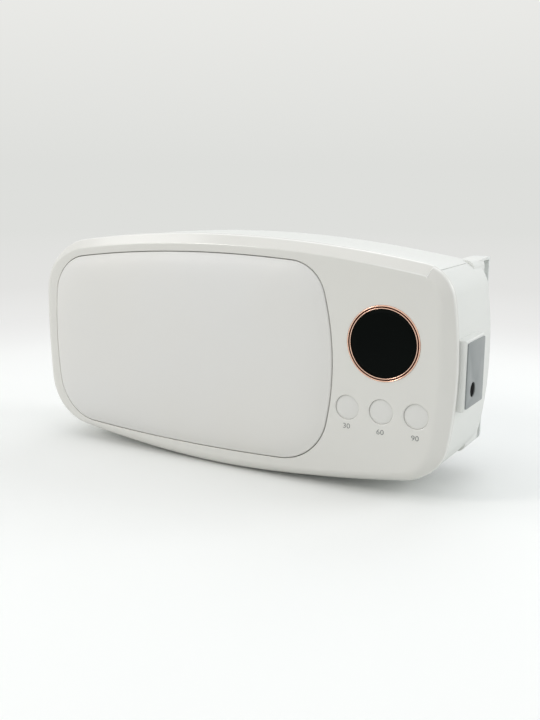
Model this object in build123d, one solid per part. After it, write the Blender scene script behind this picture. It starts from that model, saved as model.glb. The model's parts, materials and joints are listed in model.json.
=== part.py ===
from build123d import *
from dataclasses import dataclass
import math
import os

# Nail lamp standing on its long edge, in millimetres. X runs along the lamp, Y goes from the control
# face into the lamp, and Z is up. Places on the lamp are given as a distance right of the body's
# centre, a distance above it, and a depth behind the middle of the control face.

# Outline of the control face: how far its four bowed sides lie from the body's centre
HALF_LENGTH = 124.25
HALF_HEIGHT = 61.3
TOP_BOW_RADIUS = 655.0
BOTTOM_BOW_RADIUS = 600.0
RIGHT_BOW_RADIUS = 217.0
LEFT_BOW_RADIUS = 400.0
END_BOW_RISE = 4.0
RIM_CORNERS = (18.0, 25.0, 29.0, 33.0)

# Top cover
FACE_BOW_RADIUS = 2420.0
FACE_WALL = 2.4
RIM_WALL = 4.2
RIM_BAND = 0.7
TRIM_GAP = 0.02
BEVEL_WIDTH = 5.2
BEVEL_DEPTH = 3.3

# Hand pad, its seam and its board
PAD_TOP_INSET = 9.4
PAD_BOTTOM_INSET = 10.5
PAD_LEFT_INSET = 8.75
PAD_RIGHT_INSET = 61.0
PAD_TOP_BOW_RADIUS = 666.0
PAD_BOTTOM_BOW_RADIUS = 1950.0
PAD_RIGHT_BOW_RADIUS = 138.0
PAD_LEFT_BOW_RADIUS = 216.0
PAD_CORNERS = (19.3, 27.0, 26.3, 24.3)
PAD_SEAM = 0.5
PAD_CROWN = 4.5
PAD_CROWN_RADIUS = 850.0
PAD_EDGE_RADIUS = 2.0
PAD_BOARD_LIP = 1.8
PAD_BOARD_WALL = 2.0
PAD_BOARD_GAP = 0.2

# Display
DISPLAY_INSET = 35.05
DISPLAY_Z = 14.5
RING_RADIUS = 18.15
RING_WIDTH = 1.25
RING_PROUD = 0.4
LENS_RECESS = 0.3
LENS_WALL = 1.6
LENS_LEDGE = 1.2
MODULE_LENGTH = 24.0
MODULE_HEIGHT = 16.0

# Buttons and their switches
BUTTON_TIMES = (30, 60, 90)
BUTTON_PITCH = 17.35
BUTTON_INSET = 35.25
BUTTON_DROP = 32.9
BUTTON_RADIUS = 6.1
BUTTON_GAP = 0.35
BUTTON_PROUD = 0.5
BUTTON_TRAVEL = 0.8
BUTTON_FLANGE = 1.1
BUTTON_FLANGE_WALL = 1.0
BUTTON_FLANGE_GAP = 0.6
STEM_RADIUS = 1.6
STEM_LENGTH = 0.96
SWITCH_SIZE = 6.0
SWITCH_HEIGHT = 3.4
PLUNGER_RADIUS = 1.7
PLUNGER_PROUD = 0.8
PLUNGER_DEPTH = 1.2
PLUNGER_CLEARANCE = 0.08

# Control board
CONTROL_SPACE = 4.5
BOARD_WALL = 1.6
CONTROL_LEFT_INSET = 60.25
CONTROL_RIGHT_INSET = 14.25
CONTROL_TOP_INSET = 23.3
CONTROL_BELOW_BUTTONS = 15.6
CONTROL_SCREW_INSET = 4.0

# Housing
HOUSING_END_INSET = 1.4
HOUSING_LONG_INSET = 0.9
HOUSING_WALL = 2.2
LONG_WALL_DEPTH = 47.5
END_WALL_DEPTH = 58.0
END_WALL_INSET = 12.25
END_WALL_FILLET = 8.0
DECK_WALL = 2.0

# Power boss, socket and plate on the right end
BOSS_PROUD = 2.8
BOSS_EDGE = 1.2
BOSS_EDGE_FILLET = 0.9
PLATE_WALL = 0.6
PLATE_LEAD = 8.8
PLATE_DEPTH = 24.0
PLATE_HEIGHT = 30.8
PLATE_Z = 1.8
PLATE_CORNER = 0.8
PLATE_HOLE_RADIUS = 3.6
JACK_BEHIND_DECK = 0.1
JACK_Z = -5.8
JACK_WIDTH = 9.0
JACK_HEIGHT = 11.0
JACK_LENGTH = 14.5
JACK_BORE_RADIUS = 2.85
JACK_BORE_LENGTH = 9.5
JACK_MOUTH_RADIUS = 3.5
JACK_MOUTH_LENGTH = 0.8
PIN_RADIUS = 1.0
PIN_LENGTH = 8.0

# Lamp board, lights, reflector and hand sensor
LED_BOARD_END_INSET = 32.25
LED_BOARD_LONG_INSET = 27.3
LED_BOARD_SPACE = 2.5
LED_COLUMNS = 9
LED_ROWS = 4
LED_END_MARGIN = 12.0
LED_LONG_MARGIN = 10.0
LED_RADIUS = 2.4
LED_HEIGHT = 2.2
LED_HOLE_RADIUS = 3.2
LED_SCREW_END_MARGIN = 6.0
LED_SCREW_LONG_MARGIN = 4.0
REFLECTOR_WALL = 1.2
REFLECTOR_END_INSET = 24.25
REFLECTOR_LONG_INSET = 19.3
REFLECTOR_CORNER = 8.0
REFLECTOR_MOUTH_END_INSET = 18.25
REFLECTOR_MOUTH_LONG_INSET = 15.3
REFLECTOR_MOUTH_CORNER = 14.0
REFLECTOR_MOUTH_RECESS = 1.5
REFLECTOR_GAP = 0.3
SENSOR_X = 10.0
SENSOR_LENGTH = 6.0
SENSOR_WIDTH = 4.0
SENSOR_HEIGHT = 3.0

# End feet and base tray
FOOT_OUTER_INSET = 8.35
FOOT_THICKNESS = 8.6
FOOT_TOP_INSET = 10.7
FOOT_BOTTOM_INSET = 15.0
FOOT_CORNER = 4.0
FOOT_BOSS_LENGTH = 12.0
FOOT_PROUD = 8.9
FOOT_WALL = 1.8
FOOT_POCKET_HALF = 28.0
FOOT_SCREW_Z = 18.0
MAGNET_RADIUS = 3.0
MAGNET_HEIGHT = 3.0
MAGNET_Z = 36.0
TRAY_GAP = 0.1
TRAY_SLOT = 3.9
TRAY_SLOT_INSET = 2.6
TRAY_WALL = 1.6
TRAY_LIP = 1.4
TRAY_RIB = 1.5
TRAY_RIB_Z = (28.3, -10.0)
TRAY_RIB_INSET = 0.4
TRAY_NOTCH_Z = 44.0
CATCH_HEIGHT = 1.0
PAD_FOOT_RADIUS = 5.0
PAD_FOOT_HEIGHT = 1.0
PAD_FOOT_END_INSET = 26.25
PAD_FOOT_LONG_INSET = 31.3

# Screws, bosses and wiring
SCREW_RADIUS = 1.2
SCREW_CLEARANCE = 0.1
SCREW_THREAD_GAP = 0.02
HEAD_RADIUS = 2.3
HEAD_HEIGHT = 1.8
SCREW_GRIP = 6.0
SCREW_END_GAP = 1.0
BOSS_RADIUS = 3.2
COVER_BOSS_END = 54.25
COVER_BOSS_EDGE = 16.3
END_BOSS_END = 10.75
END_BOSS_TOP_EDGE = 33.3
END_BOSS_DROP = 9.6
PAD_BOSS_LEFT_MARGIN = 17.5
PAD_BOSS_LEFT_EDGE = 27.3
PAD_BOSS_RIGHT_MARGIN = 75.25
PAD_BOSS_RIGHT_EDGE = 21.3
RIBBON_INSET = 50.25
RIBBON_Z = 2.0
RIBBON_WIDTH = 10.0
RIBBON_WALL = 0.8
CONNECTOR_LENGTH = 12.0
CONNECTOR_WIDTH = 4.0
CONNECTOR_HEIGHT = 2.0
RIBBON_SLOT_MARGIN = 2.0
LEAD_RADIUS = 1.2
LEAD_INSET = 19.25
LEAD_BEND = 4.0
LEAD_SLOT_MARGIN = 1.3


def bow_depth(x):
    """How far the bowed control face lies behind its middle at x."""
    return FACE_BOW_RADIUS - math.sqrt(FACE_BOW_RADIUS**2 - x**2)


# Places that follow from the sizes above
RIM_DEPTH = bow_depth(HALF_LENGTH) + BEVEL_DEPTH + RIM_BAND
BOSS_FACE = HALF_LENGTH + BOSS_PROUD
PLATE_FACE = BOSS_FACE + PLATE_WALL
PAD_LEFT = HALF_LENGTH - PAD_LEFT_INSET
PAD_RIGHT = HALF_LENGTH - PAD_RIGHT_INSET
DISPLAY_X = HALF_LENGTH - DISPLAY_INSET
BUTTON_X = HALF_LENGTH - BUTTON_INSET
BUTTON_PLACES = [BUTTON_X + (k - 1) * BUTTON_PITCH for k in range(len(BUTTON_TIMES))]
BUTTON_Z = DISPLAY_Z - BUTTON_DROP
FLANGE_DEPTH = FACE_WALL + BUTTON_FLANGE_GAP
PLUNGER_FRONT = bow_depth(BUTTON_PLACES[-1]) + FLANGE_DEPTH + BUTTON_FLANGE_WALL + STEM_LENGTH
CONTROL_DEPTH = PLUNGER_FRONT + PLUNGER_PROUD + SWITCH_HEIGHT
CONTROL_REAR = CONTROL_DEPTH + BOARD_WALL
DECK_DEPTH = CONTROL_DEPTH + CONTROL_SPACE
DECK_REAR = DECK_DEPTH + DECK_WALL
CONTROL_LEFT = HALF_LENGTH - CONTROL_LEFT_INSET
CONTROL_RIGHT = HALF_LENGTH - CONTROL_RIGHT_INSET
CONTROL_TOP = HALF_HEIGHT - CONTROL_TOP_INSET
CONTROL_BOTTOM = CONTROL_BELOW_BUTTONS - BUTTON_Z
CONTROL_SCREWS = [
    (x, z)
    for x in (CONTROL_LEFT + CONTROL_SCREW_INSET, CONTROL_RIGHT - CONTROL_SCREW_INSET)
    for z in (CONTROL_TOP - CONTROL_SCREW_INSET, CONTROL_SCREW_INSET - CONTROL_BOTTOM)
]
COVER_BOSSES = [
    (HALF_LENGTH - COVER_BOSS_END, HALF_HEIGHT - COVER_BOSS_EDGE),
    (HALF_LENGTH - COVER_BOSS_END, COVER_BOSS_EDGE - HALF_HEIGHT),
    (HALF_LENGTH - END_BOSS_END, HALF_HEIGHT - END_BOSS_TOP_EDGE),
    (HALF_LENGTH - END_BOSS_END, BUTTON_Z - END_BOSS_DROP),
]
PAD_BOSSES = [
    (x, side * (HALF_HEIGHT - edge))
    for x, edge in (
        (PAD_BOSS_LEFT_MARGIN - PAD_LEFT, PAD_BOSS_LEFT_EDGE),
        (PAD_RIGHT - PAD_BOSS_RIGHT_MARGIN, PAD_BOSS_RIGHT_EDGE),
    )
    for side in (1, -1)
]
LED_HALF_LENGTH = HALF_LENGTH - LED_BOARD_END_INSET
LED_HALF_HEIGHT = HALF_HEIGHT - LED_BOARD_LONG_INSET
LED_BOARD_DEPTH = DECK_REAR + LED_BOARD_SPACE
LED_BOARD_REAR = LED_BOARD_DEPTH + BOARD_WALL
JACK_DEPTH = DECK_REAR + JACK_BEHIND_DECK
PLATE_FRONT = JACK_DEPTH - PLATE_LEAD
LED_SCREWS = [
    (end * (LED_HALF_LENGTH - LED_SCREW_END_MARGIN), side * (LED_HALF_HEIGHT - LED_SCREW_LONG_MARGIN))
    for end in (-1, 1) for side in (-1, 1)
]
REFLECTOR_REAR = LED_BOARD_REAR + REFLECTOR_WALL
REFLECTOR_MOUTH_DEPTH = LONG_WALL_DEPTH - REFLECTOR_MOUTH_RECESS
FOOT_OUTER = HALF_LENGTH - FOOT_OUTER_INSET
FOOT_INNER = FOOT_OUTER - FOOT_THICKNESS
FOOT_MIDDLE = (FOOT_OUTER + FOOT_INNER) / 2
FOOT_TOP = HALF_HEIGHT - FOOT_TOP_INSET
FOOT_BOTTOM = HALF_HEIGHT - FOOT_BOTTOM_INSET
FOOT_FRONT = DECK_REAR + FOOT_BOSS_LENGTH
FOOT_REAR = END_WALL_DEPTH + FOOT_PROUD
TRAY_FRONT = FOOT_REAR + TRAY_GAP
TRAY_FLANGE = TRAY_FRONT + TRAY_SLOT
TRAY_REAR = TRAY_FLANGE + TRAY_WALL
TOTAL_DEPTH = PAD_CROWN + TRAY_REAR + PAD_FOOT_HEIGHT
RIBBON_X = HALF_LENGTH - RIBBON_INSET
LEAD_X = HALF_LENGTH - LEAD_INSET
BODY_X = (HALF_LENGTH - PLATE_FACE) / 2
BODY_Z = HALF_HEIGHT
FACE_Y = PAD_CROWN - TOTAL_DEPTH / 2
REACH = 2 * HALF_LENGTH


@dataclass(frozen=True)
class Outline:
    """Four bowed sides joined by four corner arcs, seen from the front.

    Sides are distances from the body's centre. Corners run clockwise from the top right.
    """

    top: float
    right: float
    bottom: float
    left: float
    bows: tuple
    corners: tuple
    rise: float

    def grown(self, ends, sides):
        """The same outline, larger by one amount at its ends and another at its long sides."""
        steps = (sides, ends, sides, ends)
        bows = tuple(bow + step for bow, step in zip(self.bows, steps))
        corners = tuple(radius + (ends + sides) / 2 for radius in self.corners)
        return Outline(self.top + sides, self.right + ends, self.bottom + sides, self.left + ends,
                       bows, corners, self.rise)

    def circles(self):
        """Centre and radius of each side's arc, clockwise from the top."""
        top, right, bottom, left = self.bows
        return (
            (Vector(0, self.top - top), top),
            (Vector(self.right - right, self.rise), right),
            (Vector(0, bottom - self.bottom), bottom),
            (Vector(left - self.left, self.rise), left),
        )

    def face(self):
        """The outline as a filled sketch."""
        circles = self.circles()
        near = (
            Vector(self.right, self.top),
            Vector(self.right, -self.bottom),
            Vector(-self.left, -self.bottom),
            Vector(-self.left, self.top),
        )
        bends = []
        for k, radius in enumerate(self.corners):
            bends.append(corner_arc(circles[k], circles[(k + 1) % 4], radius, near[k]))
        edges = []
        for k, (start, centre, end) in enumerate(bends):
            edges.append(arc_between(bends[k - 1][2], start, circles[k][0]))
            edges.append(arc_between(start, end, centre))
        return make_face(edges)


def corner_arc(first, second, radius, near):
    """Start, centre and end of the arc that rounds the corner of two circles from inside."""
    (c1, r1), (c2, r2) = first, second
    reach1 = r1 - radius
    reach2 = r2 - radius
    apart = (c2 - c1).length
    along = (reach1**2 - reach2**2 + apart**2) / (2 * apart)
    across = math.sqrt(reach1**2 - along**2)
    way = (c2 - c1).normalized()
    side = Vector(-way.Y, way.X)
    middle = c1 + way * along
    centre = min(
        (middle + side * across, middle - side * across),
        key=lambda point: (point - near).length,
    )
    start = c1 + (centre - c1).normalized() * r1
    end = c2 + (centre - c2).normalized() * r2
    return start, centre, end


def arc_between(start, end, centre):
    """The short arc from start to end about centre."""
    radius = (start - centre).length
    middle = centre + ((start - centre) + (end - centre)).normalized() * radius
    return ThreePointArc(start, middle, end)


def at_depth(depth):
    """Drawing plane parallel to the control face, seen from the front."""
    return Plane(origin=(BODY_X, FACE_Y + depth, BODY_Z), x_dir=(1, 0, 0), z_dir=(0, -1, 0))


def slab(sketch, front, rear):
    """Solid of a front-view sketch between two depths."""
    return extrude(at_depth(rear) * sketch, rear - front, dir=(0, -1, 0))


def block(left, right, bottom, top, front, rear, corner=0.0):
    """Box between two depths, with its four long edges rounded if asked."""
    width = right - left
    height = top - bottom
    shape = RectangleRounded(width, height, corner) if corner else Rectangle(width, height)
    return slab(Pos((left + right) / 2, (bottom + top) / 2) * shape, front, rear)


def disc(x, z, radius, front, rear):
    """Round solid between two depths."""
    return slab(Pos(x, z) * Circle(radius), front, rear)


def bowed(front, rear):
    """Everything between two depths, both measured from the bowed control face."""
    fall = bow_depth(REACH)
    corners = [(-REACH, front + fall), (REACH, front + fall), (REACH, rear + fall), (-REACH, rear + fall)]
    edges = [
        ThreePointArc(corners[0], (0, front), corners[1]),
        Line(corners[1], corners[2]),
        ThreePointArc(corners[2], (0, rear), corners[3]),
        Line(corners[3], corners[0]),
    ]
    ground = Plane(origin=(BODY_X, FACE_Y, BODY_Z - REACH))
    return extrude(ground * make_face(edges), 2 * REACH, dir=(0, 0, 1))


def along_x(x, z, depth, radius, length):
    """Round solid that starts at x and runs to the right."""
    start = Plane(origin=(BODY_X + x, FACE_Y + depth, BODY_Z + z), x_dir=(0, 1, 0), z_dir=(1, 0, 0))
    return extrude(start * Circle(radius), length)


def screw(x, z, head_depth, grip):
    """Pan-head screw driven forwards, its head's underside at head_depth."""
    head = disc(x, z, HEAD_RADIUS, head_depth, head_depth + HEAD_HEIGHT)
    return head + disc(x, z, SCREW_RADIUS, head_depth - grip, head_depth)


def boss(x, z, root, tip, grip):
    """Screw boss from root to tip, with a blind pilot hole in its tip."""
    pilot = disc(x, z, SCREW_RADIUS + SCREW_THREAD_GAP, tip - grip, tip)
    return disc(x, z, BOSS_RADIUS, root, tip) - pilot


def rim_outline():
    """Outline of the control face at its widest."""
    bows = (TOP_BOW_RADIUS, RIGHT_BOW_RADIUS, BOTTOM_BOW_RADIUS, LEFT_BOW_RADIUS)
    return Outline(HALF_HEIGHT, HALF_LENGTH, HALF_HEIGHT, HALF_LENGTH, bows, RIM_CORNERS, END_BOW_RISE)


def pad_outline():
    """Outline of the hand pad."""
    bows = (PAD_TOP_BOW_RADIUS, PAD_RIGHT_BOW_RADIUS, PAD_BOTTOM_BOW_RADIUS, PAD_LEFT_BOW_RADIUS)
    top = HALF_HEIGHT - PAD_TOP_INSET
    bottom = HALF_HEIGHT - PAD_BOTTOM_INSET
    return Outline(top, PAD_RIGHT, bottom, PAD_LEFT, bows, PAD_CORNERS, 0.0)


def housing_outline():
    """Outer outline of the housing behind the rim."""
    return rim_outline().grown(-HOUSING_END_INSET, -HOUSING_LONG_INSET)


def housing_room():
    """Inner outline of the housing."""
    return housing_outline().grown(-HOUSING_WALL, -HOUSING_WALL)


def tray_outline():
    """Outline of the feet and the base tray, seen from the front."""
    height = FOOT_TOP + FOOT_BOTTOM
    return Pos(0, (FOOT_TOP - FOOT_BOTTOM) / 2) * RectangleRounded(2 * FOOT_OUTER, height, FOOT_CORNER)


def top_cover():
    """Moulded control face with its bevelled edge, openings and screw bosses."""
    rim = rim_outline()
    cover = slab(rim.face(), -RIM_DEPTH, RIM_DEPTH) & bowed(0, REACH)
    front = cover.faces().sort_by(Axis.Y)[0]
    cover = chamfer(front.edges(), BEVEL_WIDTH, BEVEL_DEPTH, reference=front)
    cover -= slab(rim.grown(-RIM_WALL, -RIM_WALL).face(), -RIM_DEPTH, RIM_DEPTH) & bowed(FACE_WALL, REACH)
    cover -= slab(pad_outline().grown(PAD_SEAM, PAD_SEAM).face(), -RIM_DEPTH, RIM_DEPTH)
    cover -= disc(DISPLAY_X, DISPLAY_Z, RING_RADIUS + TRIM_GAP, -RIM_DEPTH, RIM_DEPTH)
    for x in BUTTON_PLACES:
        cover -= disc(x, BUTTON_Z, BUTTON_RADIUS + BUTTON_GAP, -RIM_DEPTH, RIM_DEPTH)
    for x, z in CONTROL_SCREWS:
        cover += boss(x, z, bow_depth(x) + FACE_WALL / 2, CONTROL_DEPTH, SCREW_GRIP)
    for x, z in COVER_BOSSES:
        cover += boss(x, z, bow_depth(x) + FACE_WALL / 2, DECK_DEPTH, SCREW_GRIP)
    return cover


def pad_board():
    """Bowed carrier that presses the hand pad into the cover from behind."""
    lip = pad_outline().grown(PAD_BOARD_LIP, PAD_BOARD_LIP)
    margin = RIM_WALL + PAD_BOARD_GAP
    room = rim_outline().grown(-margin, -margin)
    board = slab(lip.face(), 0, REACH) & slab(room.face(), 0, REACH)
    board &= bowed(FACE_WALL, FACE_WALL + PAD_BOARD_WALL)
    for x, z in PAD_BOSSES:
        board += boss(x, z, bow_depth(x) + FACE_WALL + PAD_BOARD_WALL / 2, DECK_DEPTH, SCREW_GRIP)
    return board


def hand_pad():
    """Crowned pad with rounded, drawn-in edges."""
    middle = (PAD_RIGHT - PAD_LEFT) / 2
    pad = slab(pad_outline().face(), -2 * PAD_CROWN, REACH / 4) & bowed(-REACH, FACE_WALL)
    centre = (BODY_X + middle, FACE_Y - PAD_CROWN + PAD_CROWN_RADIUS, BODY_Z)
    pad &= Pos(*centre) * Sphere(PAD_CROWN_RADIUS)
    crown = pad.faces().sort_by(Axis.Y)[0]
    return fillet(crown.edges(), PAD_EDGE_RADIUS)


def display_ring():
    """Trim ring with the ledge that carries the lens."""
    inner = RING_RADIUS - RING_WIDTH
    ring = disc(DISPLAY_X, DISPLAY_Z, RING_RADIUS, -RIM_DEPTH, RIM_DEPTH)
    ring -= disc(DISPLAY_X, DISPLAY_Z, inner, -RIM_DEPTH, RIM_DEPTH)
    ring &= bowed(-RING_PROUD, FACE_WALL)
    ledge = disc(DISPLAY_X, DISPLAY_Z, inner, -RIM_DEPTH, RIM_DEPTH)
    ledge -= disc(DISPLAY_X, DISPLAY_Z, inner - LENS_LEDGE, -RIM_DEPTH, RIM_DEPTH)
    return ring + (ledge & bowed(LENS_RECESS + LENS_WALL, FACE_WALL))


def display_lens():
    """Dark round window in the ring."""
    radius = RING_RADIUS - RING_WIDTH - TRIM_GAP
    lens = disc(DISPLAY_X, DISPLAY_Z, radius, -RIM_DEPTH, RIM_DEPTH)
    return lens & bowed(LENS_RECESS, LENS_RECESS + LENS_WALL)


def display_module():
    """Digit module on the control board behind the lens."""
    edge = DISPLAY_X + MODULE_LENGTH / 2
    front = bow_depth(edge) + FACE_WALL
    return block(DISPLAY_X - MODULE_LENGTH / 2, edge, DISPLAY_Z - MODULE_HEIGHT / 2,
                 DISPLAY_Z + MODULE_HEIGHT / 2, front, CONTROL_DEPTH)


def button(x):
    """Push cap with a bowed front, a flange behind the face and a stem to its switch."""
    local = bow_depth(x) + FLANGE_DEPTH
    cap = disc(x, BUTTON_Z, BUTTON_RADIUS, -RIM_DEPTH, local + BUTTON_FLANGE_WALL)
    cap &= bowed(-BUTTON_PROUD, REACH)
    cap += disc(x, BUTTON_Z, BUTTON_RADIUS + BUTTON_FLANGE, local, local + BUTTON_FLANGE_WALL)
    return cap + disc(x, BUTTON_Z, STEM_RADIUS, local, PLUNGER_FRONT)


def switch_plunger(x):
    """Plunger that the button's stem pushes into its switch."""
    return disc(x, BUTTON_Z, PLUNGER_RADIUS, PLUNGER_FRONT, CONTROL_DEPTH - SWITCH_HEIGHT + PLUNGER_DEPTH)


def switch_bodies():
    """The three switch bodies on the control board, each bored for its plunger."""
    half = SWITCH_SIZE / 2
    front = CONTROL_DEPTH - SWITCH_HEIGHT
    floor = front + PLUNGER_DEPTH + BUTTON_TRAVEL + SCREW_CLEARANCE
    bodies = []
    for x in BUTTON_PLACES:
        body = block(x - half, x + half, BUTTON_Z - half, BUTTON_Z + half, front, CONTROL_DEPTH)
        bodies.append(body - disc(x, BUTTON_Z, PLUNGER_RADIUS + PLUNGER_CLEARANCE, front, floor))
    return Compound(bodies)


def control_board():
    """Board behind the display and the buttons."""
    board = block(CONTROL_LEFT, CONTROL_RIGHT, -CONTROL_BOTTOM, CONTROL_TOP, CONTROL_DEPTH, CONTROL_REAR)
    for x, z in CONTROL_SCREWS:
        board -= disc(x, z, SCREW_RADIUS + SCREW_CLEARANCE, CONTROL_DEPTH, CONTROL_REAR)
    return board


def board_screws():
    """Screws through the control board into the cover."""
    return Compound([screw(x, z, CONTROL_REAR, SCREW_GRIP - BOARD_WALL) for x, z in CONTROL_SCREWS])


def jack_block(margin=0.0):
    """Space of the power inlet's body, larger all round across its length if asked."""
    half_depth = JACK_WIDTH / 2 + margin
    half_height = JACK_HEIGHT / 2 + margin
    return block(BOSS_FACE - JACK_LENGTH, BOSS_FACE, JACK_Z - half_height, JACK_Z + half_height,
                 JACK_DEPTH - half_depth, JACK_DEPTH + half_depth)


def power_boss():
    """Raised pad on the right end that carries the socket plate."""
    half = PLATE_HEIGHT / 2 + BOSS_EDGE
    rear = PLATE_FRONT + PLATE_DEPTH + BOSS_EDGE
    solid = block(HALF_LENGTH - RIM_WALL - HOUSING_END_INSET, BOSS_FACE, PLATE_Z - half, PLATE_Z + half,
                  PLATE_FRONT - BOSS_EDGE, rear)
    face = solid.faces().sort_by(Axis.X)[-1]
    return fillet(face.edges(), BOSS_EDGE_FILLET)


def end_walls_only():
    """What is cut away behind the long walls, which stop short of the end walls."""
    start = HALF_LENGTH - END_WALL_INSET
    cut = block(-start, start, -HALF_HEIGHT, HALF_HEIGHT, LONG_WALL_DEPTH, END_WALL_DEPTH)
    bends = cut.edges().filter_by(Axis.Z).sort_by(Axis.Y)[:2]
    return fillet(bends, END_WALL_FILLET)


def housing_shell():
    """Walls of the housing, with nothing inside them."""
    shell = slab(housing_outline().face(), RIM_DEPTH, END_WALL_DEPTH)
    shell -= slab(housing_room().face(), RIM_DEPTH, END_WALL_DEPTH)
    return shell - end_walls_only()


def housing():
    """Barrel-shaped housing with its deck, power boss and screw bosses."""
    body = housing_shell() + slab(housing_room().face(), DECK_DEPTH, DECK_REAR)
    body += power_boss() - slab(housing_room().face(), RIM_DEPTH, END_WALL_DEPTH)
    for side in (-1, 1):
        for z in (-FOOT_SCREW_Z, FOOT_SCREW_Z):
            body += boss(side * FOOT_MIDDLE, z, DECK_REAR, FOOT_FRONT, SCREW_GRIP)
    for x, z in LED_SCREWS:
        body += disc(x, z, BOSS_RADIUS, DECK_REAR, LED_BOARD_DEPTH)
        body -= disc(x, z, SCREW_RADIUS + SCREW_THREAD_GAP, DECK_DEPTH, LED_BOARD_DEPTH)
    for x, z in COVER_BOSSES + PAD_BOSSES:
        body -= disc(x, z, SCREW_RADIUS + SCREW_CLEARANCE, DECK_DEPTH, DECK_REAR)
    body -= jack_block()
    lead_half = LEAD_RADIUS + LEAD_SLOT_MARGIN
    body -= block(LEAD_X - lead_half, BOSS_FACE - JACK_LENGTH, JACK_Z - lead_half, JACK_Z + lead_half,
                  DECK_DEPTH, DECK_REAR)
    slot = CONNECTOR_LENGTH / 2 + RIBBON_SLOT_MARGIN
    body -= block(RIBBON_X - CONNECTOR_WIDTH, RIBBON_X + CONNECTOR_WIDTH, RIBBON_Z - slot, RIBBON_Z + slot,
                  DECK_DEPTH, DECK_REAR)
    return body


def case_screws():
    """Screws through the housing's deck into the cover and the pad board."""
    grip = DECK_WALL + SCREW_GRIP - SCREW_END_GAP
    return Compound([screw(x, z, DECK_REAR, grip) for x, z in COVER_BOSSES + PAD_BOSSES])


def led_places():
    """Places of the lights, column by column."""
    reach_x = LED_HALF_LENGTH - LED_END_MARGIN
    reach_z = LED_HALF_HEIGHT - LED_LONG_MARGIN
    columns = [reach_x * (2 * k / (LED_COLUMNS - 1) - 1) for k in range(LED_COLUMNS)]
    rows = [reach_z * (2 * k / (LED_ROWS - 1) - 1) for k in range(LED_ROWS)]
    return [(x, z) for x in columns for z in rows]


def led_board():
    """Board that carries the lights over the hand space."""
    board = block(-LED_HALF_LENGTH, LED_HALF_LENGTH, -LED_HALF_HEIGHT, LED_HALF_HEIGHT,
                  LED_BOARD_DEPTH, LED_BOARD_REAR)
    for x, z in LED_SCREWS:
        board -= disc(x, z, SCREW_RADIUS + SCREW_CLEARANCE, LED_BOARD_DEPTH, LED_BOARD_REAR)
    return board


def led_beads():
    """The lights, as one group of separate solids."""
    beads = []
    for x, z in led_places():
        bead = disc(x, z, LED_RADIUS, LED_BOARD_REAR, LED_BOARD_REAR + LED_HEIGHT)
        beads.append(fillet(bead.faces().sort_by(Axis.Y)[-1].edges(), LED_HEIGHT / 2))
    return Compound(beads)


def led_screws():
    """Screws through the reflector and the lamp board into the deck."""
    grip = REFLECTOR_WALL + BOARD_WALL + LED_BOARD_DEPTH - DECK_DEPTH
    return Compound([screw(x, z, REFLECTOR_REAR, grip) for x, z in LED_SCREWS])


def flare(margin, front, rear):
    """Solid that widens from the reflector's floor to its mouth, smaller by a margin."""
    floor = RectangleRounded(2 * (HALF_LENGTH - REFLECTOR_END_INSET - margin),
                             2 * (HALF_HEIGHT - REFLECTOR_LONG_INSET - margin), REFLECTOR_CORNER)
    mouth = RectangleRounded(2 * (HALF_LENGTH - REFLECTOR_MOUTH_END_INSET - margin),
                             2 * (HALF_HEIGHT - REFLECTOR_MOUTH_LONG_INSET - margin), REFLECTOR_MOUTH_CORNER)
    return loft([at_depth(front) * floor, at_depth(rear) * mouth])


def reflector():
    """White liner of the hand space, with a hole over each light and a flange to the long walls."""
    mouth_front = REFLECTOR_MOUTH_DEPTH - REFLECTOR_WALL
    liner = flare(0, LED_BOARD_REAR, REFLECTOR_MOUTH_DEPTH)
    room = housing_room().grown(-REFLECTOR_GAP, -REFLECTOR_GAP)
    reach = FOOT_INNER - REFLECTOR_GAP
    liner += slab(room.face(), mouth_front, REFLECTOR_MOUTH_DEPTH) & block(
        -reach, reach, -HALF_HEIGHT, HALF_HEIGHT, mouth_front, REFLECTOR_MOUTH_DEPTH)
    liner -= flare(REFLECTOR_WALL, REFLECTOR_REAR, REFLECTOR_MOUTH_DEPTH)
    holes = Sketch() + [Pos(x, z) * Circle(LED_HOLE_RADIUS) for x, z in led_places()]
    liner -= slab(holes, LED_BOARD_REAR, REFLECTOR_REAR)
    for x, z in LED_SCREWS:
        liner -= disc(x, z, SCREW_RADIUS + SCREW_CLEARANCE, LED_BOARD_REAR, REFLECTOR_REAR)
    return liner - sensor_block(REFLECTOR_GAP)


def sensor_block(margin=0.0):
    """Space of the hand sensor, larger all round if asked."""
    half_length = SENSOR_LENGTH / 2 + margin
    half_width = SENSOR_WIDTH / 2 + margin
    return block(SENSOR_X - half_length, SENSOR_X + half_length, -half_width, half_width,
                 LED_BOARD_REAR, LED_BOARD_REAR + SENSOR_HEIGHT)


def ribbon_cable():
    """Flat cable through the deck, from the control board's connector to the lamp board's."""
    half = RIBBON_WIDTH / 2
    return block(RIBBON_X - RIBBON_WALL / 2, RIBBON_X + RIBBON_WALL / 2, RIBBON_Z - half, RIBBON_Z + half,
                 CONTROL_REAR + CONNECTOR_HEIGHT, LED_BOARD_DEPTH - CONNECTOR_HEIGHT)


def cable_connectors():
    """Connectors at both ends of the flat cable."""
    starts = (CONTROL_REAR, LED_BOARD_DEPTH - CONNECTOR_HEIGHT)
    half_width = CONNECTOR_WIDTH / 2
    half_length = CONNECTOR_LENGTH / 2
    return Compound([
        block(RIBBON_X - half_width, RIBBON_X + half_width, RIBBON_Z - half_length, RIBBON_Z + half_length,
              start, start + CONNECTOR_HEIGHT)
        for start in starts
    ])


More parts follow.
